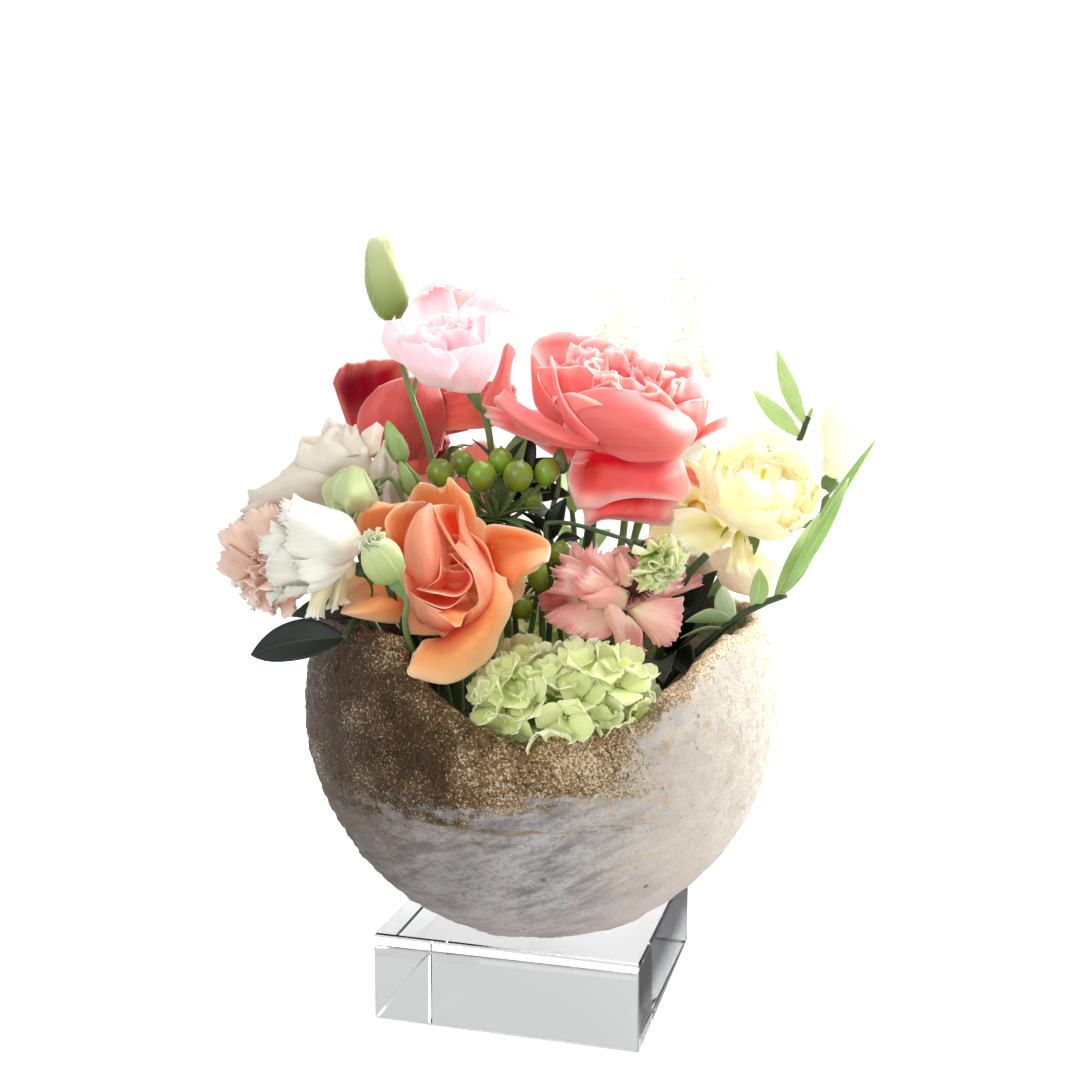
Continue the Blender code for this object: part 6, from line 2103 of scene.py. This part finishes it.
@dataclass(frozen=True)
class Hydrangea:
    """A mop of four-sepal florets and small beads over a core."""

    node: str
    centre: Triple
    radii: Triple
    florets: int
    beads: int
    seed: int
    inset: float = 6.5
    lean: float = 0.55
    uneven: Pair = (-2.6, 2.4)

    def places(self, count: int, sink: float, low: float, chance: random.Random,
               size: Pair) -> list[tuple[Vector, Vector, float, float]]:
        """Returns places spread evenly over the mop, down to a height of low on a unit ball."""
        made = []
        for way in ball(count, low):
            spot = Vector(self.centre) + Vector(way[i] * self.radii[i] for i in range(3))
            out = Vector(way[i] / self.radii[i] for i in range(3)).normalized()
            lean = Vector(chance.uniform(-1, 1) for _ in range(3))
            faced = (out + lean * self.lean).normalized()
            depth = sink + chance.uniform(*self.uneven)
            made.append((spot - out * depth, faced, chance.uniform(0, math.pi), chance.uniform(*size)))
        return made

    def build(self) -> bpy.types.Object:
        """Builds the mop."""
        chance = random.Random(self.node)
        skin = Skin()
        inner = Matrix.Diagonal((*(radius - self.inset for radius in self.radii), 1))
        core = Matrix.Translation(Vector(self.centre)) @ inner
        skin.turned([(r, h - 1) for r, h in egg_profile(1.0, 2.0, 10)], core, 20)
        for kind, (reach, cup, sink, step) in enumerate(FLORET_KINDS):
            floret = sepal_floret(reach, 4, cup, chance)
            spots = self.places(self.florets, sink, -0.62, chance, (0.7, 1.12))
            skin.take(grown_copies(floret, spots[kind % 2::step], LIME, 0.12, self.seed + kind))
        bead = Skin()
        bead.turned(egg_profile(1.15, 2.3, 5), Matrix(), 7)
        spots = self.places(self.beads, 2.2, -0.6, chance, (0.7, 1.3))
        skin.take(grown_copies(bead, spots, LIME, 0.2, self.seed + 5))
        return skin.piece(self.node, LIME, "lime_floret")


@dataclass(frozen=True)
class PlainStem:
    """The straight stem of a hydrangea, from inside its mop down to the foam."""

    node: str
    top: Triple
    radius: float = 2.2
    steps: int = 6

    def build(self) -> bpy.types.Object:
        """Builds the stem."""
        x, y, z = self.top
        line = [Vector((x, y, z + (HOLE_FLOOR - z) * k / self.steps)) for k in range(self.steps + 1)]
        skin = Skin()
        skin.tubes([stem_along(line, self.radius)], STEM_GREEN)
        return skin.piece(self.node, STEM_GREEN, "stem")


@dataclass(frozen=True)
class StockSpike:
    """A white stock spike: double florets round a spine, smaller towards its top, on a green stem."""

    name: str
    top: Triple
    foot: Triple
    florets: int
    reach: float
    via: Triple
    hole: Pair
    seed: int
    radius: float = 1.7
    spine_radius: float = 2.2
    spine_steps: int = 8

    def build(self) -> bpy.types.Object:
        """Builds the stem and the florets as a piece each."""
        top = Vector(self.top)
        foot = Vector(self.foot)
        below = foot - Vector((0, 0, 1))
        line = planted_line([tuple(below), tuple(below - Vector((0, 0, 14))), self.via], self.hole)
        stem = Skin()
        stem.tubes([stem_along(line, self.radius)], STEM_GREEN)
        stem.piece(f"{self.name}_stem", STEM_GREEN, "stem")
        chance = random.Random(self.name)
        skin = Skin()
        steps = range(self.spine_steps + 1)
        spine = [foot.lerp(top, k / self.spine_steps) for k in steps]
        skin.tubes([(spine, [self.spine_radius - 0.1 * k for k in steps])], STOCK, 10)
        double = Skin()
        for ring, (count, opening) in enumerate(((5, 76), (4, 42))):
            size = 11 - 2 * ring
            whorl = Whorl(count, size, size, opening * 0.6, opening, 0.5, 1.0, 40 * ring,
                          frill=0.3, columns=6, rows=6, ring=0.4, lift=0.6, tuck=0.4)
            for k in range(count):
                double.blade(whorl.grid(k, chance), 0.35)
        places = []
        for k in range(self.florets):
            share = (k + 0.5) / self.florets
            turn = math.radians(GOLDEN_TURN) * k
            way = Vector((math.cos(turn), math.sin(turn), 0.25 + 0.5 * share)).normalized()
            spot = foot.lerp(top, share * 0.92)
            places.append((spot + way * 1.4, way, chance.uniform(0, 3), self.reach * (1.05 - 0.4 * share)))
        skin.take(grown_copies(double, places, STOCK, 0.08, self.seed))
        return skin.piece(f"{self.name}_florets", STOCK, "white_petal")


@dataclass(frozen=True)
class HairyEye:
    """The dark eye of the blush lisianthus: a ball of short hairs."""

    node: str = "blush_lisianthus_eye"
    radius: float = 4.4
    rise: float = 11.0
    drop: float = 3.6
    hairs: int = 190
    length: float = 3.8

    def build(self) -> bpy.types.Object:
        """Builds the ball and grows its hairs."""
        seat = SEATS["blush_lisianthus"]
        out = facing(seat.azimuth, seat.elevation) * self.rise
        centre = Vector(seat.base) + out - Vector((self.drop, 0, self.drop))
        chance = random.Random(self.node)
        skin = Skin()
        profile = [(r, h - self.radius) for r, h in egg_profile(self.radius, 2 * self.radius, 8)]
        skin.turned(profile, Matrix.Translation(centre), 16)
        hair = Skin()
        hair.turned([(0, 0), (0.22, 0), (0.14, self.length * 0.8), (0.3, self.length * 0.9),
                     (0, self.length)], Matrix(), 5)
        places = []
        for way in ball(self.hairs):
            places.append((centre + way * self.radius * 0.8, way, 0.0, chance.uniform(0.5, 1.1)))
        skin.take(grown_copies(hair, places, MAROON_HAIR, 0.2, 5))
        return skin.piece(self.node, MAROON_HAIR, "maroon_eye")


SPRAYS: tuple[Spray, ...] = (
    Spray("ruscus_right", ((94, -47, 176), (80, -53, 171.5), (66, -50, 160)), (42, -42), 1.5, (
        (0.05, (120, -34, 220), 5.2, 8, 62),
        (0.01, (133, -24, 235), 5.0, -5, 78),
        (0.06, (108, -36, 207), 7, 4, 80),
        (0.10, (113, -18, 205), 7, 2, 40),
        (0.27, (83, -51, 187), 8, 2, 70),
        (0.42, (68, -57, 181), 9.5, 2, 85),
        (0.44, (54, -61, 168), 8, 2, 50),
        (0.50, (52, -62, 162), 5, 1, 30),
    ), RUSCUS_LEAF, "leaf"),
    Spray("ruscus_upper", ((114, 18, 242), (107, 22, 227), (82, 40, 208), (60, 40, 184)), (42, 38), 1.4, (
        (0.06, (101, 24, 270), 7.5, -3, 80),
        (0.13, (91, 24, 253), 7.5, -2, 80),
        (0.01, (116, 20, 246), 1.8, 0, 60),
        (0.36, (72, 40, 228), 9, 2, 60),
    ), RUSCUS_LEAF, "leaf"),
    Spray("salal_left", (
        (-72, -78, 165), (-67, -69, 172), (-58, -46, 170), (-53, -26, 160),
    ), (-44, -8), 1.5, (
        (0.01, (-108, -68, 157), 17, 3, -55),
        (0.28, (-92, -70, 172), 13, 3, -40),
        (0.55, (-79, 11, 170), 17, 5, 0),
    ), DARK_LEAF, "dark_leaf"),
    Spray("salal_right", ((52, -30, 151), (49, -29, 144)), (46, -28), 1.6, (
        (0.02, (68, -44, 185), 16, 3, 75),
        (0.20, (56, -66, 148), 16, 4, 20),
        (0.10, (76, -24, 172), 18, 3, 20),
        (0.30, (44, -84, 150), 14, 4, 20),
        (0.05, (56, -60, 172), 15, 3, 60),
    ), DARK_LEAF, "dark_leaf"),
    Spray("hypericum_upper", ((-13, -20, 214), (-13, -22, 196)), (-8, -30), 1.2, (
        (0.02, (-3, -16, 236), 12, 2, 60),
        (0.04, (-28, -12, 234), 12, 2, 20),
        (0.06, (8, -14, 226), 12, 3, 30),
        (0.08, (-36, -16, 222), 12, 3, 10),
        (0.10, (12, -20, 212), 11, 3, 50),
        (0.14, (-30, -14, 208), 12, 3, 0),
        (0.20, (6, -16, 200), 11, 3, 30),
        (0.10, (-14, -8, 230), 13, 2, 80),
        (0.28, (-24, -14, 196), 11, 2, 20),
        (0.30, (2, -20, 188), 10, 2, 60),
    ), DARK_LEAF, "hypericum"),
    Spray("hypericum_lower", ((4, -30, 196), (4, -32, 178)), (2, -34), 1.1, (
        (0.02, (10, -32, 212), 9, 2, 70),
        (0.06, (-8, -30, 206), 9, 2, 30),
        (0.12, (16, -34, 196), 9, 2, 20),
        (0.20, (-10, -32, 188), 9, 2, 40),
        (0.30, (14, -38, 180), 9, 2, 50),
        (0.36, (-8, -36, 172), 9, 2, 10),
        (0.42, (16, -34, 168), 9, 2, 60),
    ), DARK_LEAF, "hypericum"),
    Spray("back_ruscus", ((14, 68, 202), (16, 58, 180)), (18, 44), 1.4, (
        (0.04, (6, 66, 236), 11, 2, 20),
        (0.15, (24, 68, 224), 10, 2, 40),
        (0.15, (12, 92, 212), 11, 3, 10),
        (0.40, (-4, 88, 188), 12, 4, 0),
        (0.50, (34, 84, 186), 12, 4, 0),
    ), RUSCUS_LEAF, "leaf"),
)

GREENERY: tuple[BudBranch | BerrySpray | Hydrangea | StockSpike | HairyEye | PlainStem, ...] = (
    BudBranch(
        "tall_bud_stem",
        ((((-61, 2, 280), (-58, -2, 268), (-52, -9, 250), (-43, -13, 221)), 1.3),
         (((-52, -9, 250), (-50, -4, 262), (-47, 2, 272)), 1.0)),
        (-30, 4), (((-47, 2, 271), (-46, 4, 284), 3.2),),
    ),
    BudBranch(
        "bud_spray",
        ((((-54, -46, 230), (-52, -46, 226), (-46, -45, 219), (-39, -42, 206)), 1.3),
         (((-43, -43.5, 213), (-47, -48, 213), (-49.5, -50, 217)), 1.0)),
        (-24, -30), (((-53, -46, 227), (-58.5, -46, 243), 4.0), ((-49, -50, 215), (-53.5, -50, 228), 3.0)),
        BUD_GREEN,
    ),
    BudBranch(
        "hypericum_upper", ((((7, -24, 225), (6.5, -24, 214), (3, -24, 200)), 1.1),), (-8, -30),
        (((7, -24, 221), (7.5, -25, 231.5), 3.4),),
    ),
    BudBranch(
        "ruscus_right", ((((62, -58, 193), (55, -54, 184), (50, -48, 170)), 1.7),), (42, -42), (),
        DEEP_GREEN,
    ),
    Hydrangea("hydrangea_florets", (8, -87.5, 144.5), (29, 24, 16), 60, 140, 1),
    Hydrangea("back_hydrangea_florets", (-6, 42, 149), (24, 18, 17), 44, 60, 11),
    BerrySpray("hypericum_upper", (
        ((-39, -38, 222), 5.4), ((-23, -39, 221), 5.6), ((-9, -39, 221), 5.8), ((2, -32, 222), 5.0),
        ((-31, -27, 225), 4.8), ((-16, -29, 226), 5.0), ((-29, -34, 210), 4.4), ((-4, -28, 211), 4.4),
    ), (-18, -30, 203), (-8, -30), (
        ((4, -40, 208), 8), ((-32, -44, 204), 7), ((0, -34, 198), 7), ((-6, -42, 200), 6),
        ((-24, -40, 216), 6), ((4, -26, 214), 7), ((-5, -12, 240), 13), ((-8, -24, 186), 7),
        ((6, -36, 190), 6), ((-34, -24, 212), 6),
    )),
    BerrySpray("hypericum_lower", (
        ((0, -48, 183), 5.4), ((-8, -50, 172), 4.8), ((7, -40, 191), 4.6), ((-5, -38, 194), 4.2),
    ), (0, -38, 174), (2, -34), (
        ((10, -46, 177), 6), ((-10, -44, 180), 6), ((4, -48, 164), 6), ((12, -40, 168), 6),
        ((8, -34, 186), 6), ((-8, -30, 186), 6), ((-12, -42, 166), 5),
    )),
    StockSpike("stock_left", (36, 50, 294), (36, 49, 268), 7, 1.1, (36, 28, 190), (16, 14), 21),
    StockSpike("stock_right", (66, 48, 308), (67, 47, 262), 12, 1.1, (44, 28, 198), (26, 20), 31),
    HairyEye(),
    PlainStem("hydrangea_stem", (13.6, -82, 133.5)),
    PlainStem("back_hydrangea_stem", (-6, 42, 135.1)),
)


class FloorFinish(Finish):
    """The pale floor, which looks white to the camera."""

    name = "floor_paint"

    def wire(self, board: Wiring, shader: bpy.types.Node) -> None:
        """Wires a glow that only the camera and the clear block see."""
        rays = board.node("ShaderNodeLightPath").outputs
        seen = board.math("MAXIMUM", rays["Is Camera Ray"], rays["Is Transmission Ray"])
        board.fill(
            shader, Base_Color=(0.72, 0.72, 0.72), Roughness=0.8, Emission_Color=(1.0, 1.0, 1.0),
            Emission_Strength=board.times(seen, 0.62),
        )


class CardFinish(Finish):
    """The dark card."""

    name = "card_paint"

    def wire(self, board: Wiring, shader: bpy.types.Node) -> None:
        """Sets its colour."""
        board.fill(shader, Base_Color=(0.02, 0.02, 0.02))


class Studio:
    """The floor, the soft light and the photograph's camera."""

    lens = 46.68
    camera_place = (-0.00165, -0.5761, 0.2647)
    camera_pitch = 82.865
    aim = (0.0, 0.0, 0.17)
    floor_place = (0.0, 0.0, -0.0003)
    floor_radius = 12.0
    card_place = (0.169, 0.129, 0.0002)
    card_size = (0.144, 0.46, 1.0)
    card_turn = -15.7

    def camera(self) -> None:
        """Sets the camera at the photograph's viewing angle."""
        data = bpy.data.cameras.new("camera")
        data.lens = self.lens
        data.sensor_width = 36.0
        data.clip_start = 0.01
        camera = bpy.data.objects.new("camera", data)
        camera.location = self.camera_place
        camera.rotation_euler = (math.radians(self.camera_pitch), 0.0, 0.0)
        bpy.context.scene.collection.objects.link(camera)
        bpy.context.scene.camera = camera

    def floor(self) -> None:
        """Lays a pale floor."""
        bpy.ops.mesh.primitive_circle_add(
            vertices=64, radius=self.floor_radius, fill_type="NGON", location=self.floor_place
        )
        floor = bpy.context.object
        floor.name = "floor"
        floor.data.materials.append(FloorFinish().material())

    def card(self) -> None:
        """Lays a dark card by the block's right side, which only mirrors there and is never seen."""
        turn = (0, 0, math.radians(self.card_turn))
        bpy.ops.mesh.primitive_plane_add(size=1.0, location=self.card_place, rotation=turn)
        card = bpy.context.object
        card.name = "dark_card"
        card.scale = self.card_size
        card.visible_transmission = False
        card.visible_camera = False
        card.visible_diffuse = False
        card.visible_shadow = False
        card.data.materials.append(CardFinish().material())

    def lamp(self, name: str, place: Triple, power: float, size: float) -> None:
        """Hangs a square soft lamp that points at the blooms."""
        data = bpy.data.lights.new(name, "AREA")
        data.energy = power
        data.size = size
        lamp = bpy.data.objects.new(name, data)
        lamp.location = place
        lamp.rotation_euler = (Vector(self.aim) - Vector(place)).to_track_quat("-Z", "Y").to_euler()
        bpy.context.scene.collection.objects.link(lamp)

    def light(self) -> None:
        """Sets a pale surround, a strong soft lamp behind on the right and a weak one in front."""
        world = bpy.data.worlds.new("surround")
        world.use_nodes = True
        board = Wiring(world.node_tree)
        seen = board.node("ShaderNodeLightPath").outputs["Is Camera Ray"]
        strength = board.add(0.64, board.times(seen, 0.41))
        board.fill(world.node_tree.nodes["Background"], Color=(1.0, 1.0, 1.0), Strength=strength)
        bpy.context.scene.world = world
        self.lamp("back_right", (1.1, 0.7, 0.85), 40.0, 0.8)
        self.lamp("top", (0.3, 0.1, 1.4), 8.0, 0.9)
        self.lamp("front_left", (-0.7, -1.2, 0.7), 6.0, 0.9)
        bpy.context.scene.view_settings.view_transform = "Standard"


def down_from(way: Vector, polar: float, radius: float) -> Vector:
    """Returns the point at a radius and at a polar angle from straight down, on a way's side."""
    return way * (radius * math.sin(polar)) + Vector((0, 0, -radius * math.cos(polar)))


@dataclass
class GildedBowl:
    """The round plaster bowl: an open sphere with a flat foot and a broken rim."""

    radius: float = 95.0
    wall: float = 6.0
    foot: float = 20.0
    centre: Triple = (0.0, -18.0, 129.17)
    columns: int = 400
    rows: int = 120
    lip_rows: int = 7
    inner_rows: int = 24
    inner_foot: float = 0.5
    chips: tuple[Pair, ...] = ((1.4, 9), (0.8, 23), (0.4, 60))
    rim: tuple[Pair, ...] = (
        (-180, 38), (-160, 40), (-135, 36), (-110, 39), (-85, 35), (-62, 37), (-45, 39), (-36, 38),
        (-31, 27), (-22, 18), (-15, 11), (-5, 5), (2, 9), (13, 9), (22, 12), (27, 18), (33, 23),
        (39, 29), (51, 35), (75, 35), (90, 38), (110, 36), (130, 40), (150, 35), (180, 38),
    )

    def rim_height(self, azimuth: float) -> float:
        """Returns the broken rim's height above the bowl's centre."""
        turn = math.radians(azimuth)
        ring = Vector((math.sin(turn), math.cos(turn), 0))
        height = float(np.interp(azimuth, [a for a, _ in self.rim], [h for _, h in self.rim]))
        for size, pitch in self.chips:
            height += size * noise.noise(ring * pitch)
        return height

    def relief(self, spot: Vector, polar: float) -> float:
        """Returns how far the plaster stands out at a point of its outer face."""
        lumps = 0.7 * noise.noise(spot * 0.03) + 0.4 * noise.noise(spot * 0.09)
        slanted = Vector((spot.x * 0.05, spot.y * 0.05, (spot.z - 0.35 * spot.x) * 0.22))
        strokes = 1.0 * abs(noise.noise(slanted)) + 0.45 * noise.noise(slanted * 3)
        grain = 0.42 * noise.noise(spot * 0.42)
        return (lumps + strokes + grain) * min(1.0, max(0.0, (polar - 0.2) * 6))

    def section(self, azimuth: float) -> list[Vector]:
        """Returns the wall's outline at an azimuth: up the outer face, over the rim, down inside."""
        turn = math.radians(azimuth)
        way = Vector((math.sin(turn), -math.cos(turn), 0))
        start = math.asin(self.foot / self.radius)
        lip = self.wall / 2
        top = math.pi / 2 + math.asin((self.rim_height(azimuth) - lip * 0.6) / self.radius)
        line = []
        for k in range(self.rows):
            polar = start + (top - start) * k / (self.rows - 1)
            relief = self.relief(down_from(way, polar, self.radius), polar)
            line.append(down_from(way, polar, self.radius + relief))
        middle = self.radius - lip
        for k in range(self.lip_rows):
            bend = math.pi * (k + 1) / (self.lip_rows + 1)
            crumb = noise.noise(down_from(way, top, middle) * 0.4 + Vector((0, 0, bend)))
            polar = top + lip * math.sin(bend) * (1 + 0.25 * crumb) / middle
            line.append(down_from(way, polar, middle + lip * math.cos(bend)))
        inside = self.radius - self.wall
        for k in range(self.inner_rows):
            polar = top + (self.inner_foot - top) * k / (self.inner_rows - 1)
            hollow = 0.4 * noise.noise(down_from(way, polar, inside) * 0.06)
            line.append(down_from(way, polar, inside - hollow))
        return line

    def build(self) -> bpy.types.Object:
        """Builds the wall, closes its foot and hands the bowl to the frame."""
        sections = [self.section(-180 + 360 * k / self.columns) for k in range(self.columns)]
        depth = len(sections[0])
        points = [point + Vector(self.centre) for line in sections for point in line]
        faces: list[tuple[int, ...]] = []
        for k in range(self.columns):
            here = k * depth
            there = (k + 1) % self.columns * depth
            faces += [(here + r, there + r, there + r + 1, here + r + 1) for r in range(depth - 1)]
        under = [point.z for point in (sections[0][0], sections[0][-1])]
        for row, height, forward in ((0, under[0], True), (depth - 1, under[1], False)):
            hub = len(points)
            points.append(Vector(self.centre) + Vector((0, 0, height)))
            for k in range(self.columns):
                pair = (k * depth + row, (k + 1) % self.columns * depth + row)
                faces.append((hub, *(pair[::-1] if forward else pair)))
        mesh = bpy.data.meshes.new("gilded_bowl_plaster")
        mesh.from_pydata([point * MM for point in points], [], faces)
        mesh.shade_smooth()
        row = np.arange(depth)
        near = np.clip(np.minimum((row - self.rows + 7) / 6, (self.rows + 12 - row) / 5), 0, 1)
        rim = np.zeros((len(points), 3))
        rim[:self.columns * depth, 0] = np.tile(near, self.columns)
        keep(mesh, "rim", rim)
        finish = GildedPlasterFinish()
        return put_out("gilded_bowl_plaster", mesh, finish, "gilded_plaster", ("gilded_bowl",))


def dress_node(node: str, finish: Finish) -> None:
    """Gives a CAD node that keeps its own shape a finish."""
    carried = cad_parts[node]
    carried.data.materials.clear()
    carried.data.materials.append(finish.material())
    LOG.info("%s: kept, with %s", node, finish.name)


def main() -> None:
    """Builds the arrangement piece by piece."""
    logging.basicConfig(level=logging.INFO, format="%(name)s: %(message)s")
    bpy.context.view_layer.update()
    studio = Studio()
    studio.camera()
    studio.floor()
    studio.card()
    studio.light()
    GildedBowl().build()
    dress_node("acrylic_block", AcrylicFinish())
    dress_node("wet_foam", FOAM_GREEN)
    for grown in (*BLOOMS, *STALKS, *SPRAYS, *GREENERY):
        grown.build()


if __name__ == "__main__":
    main()
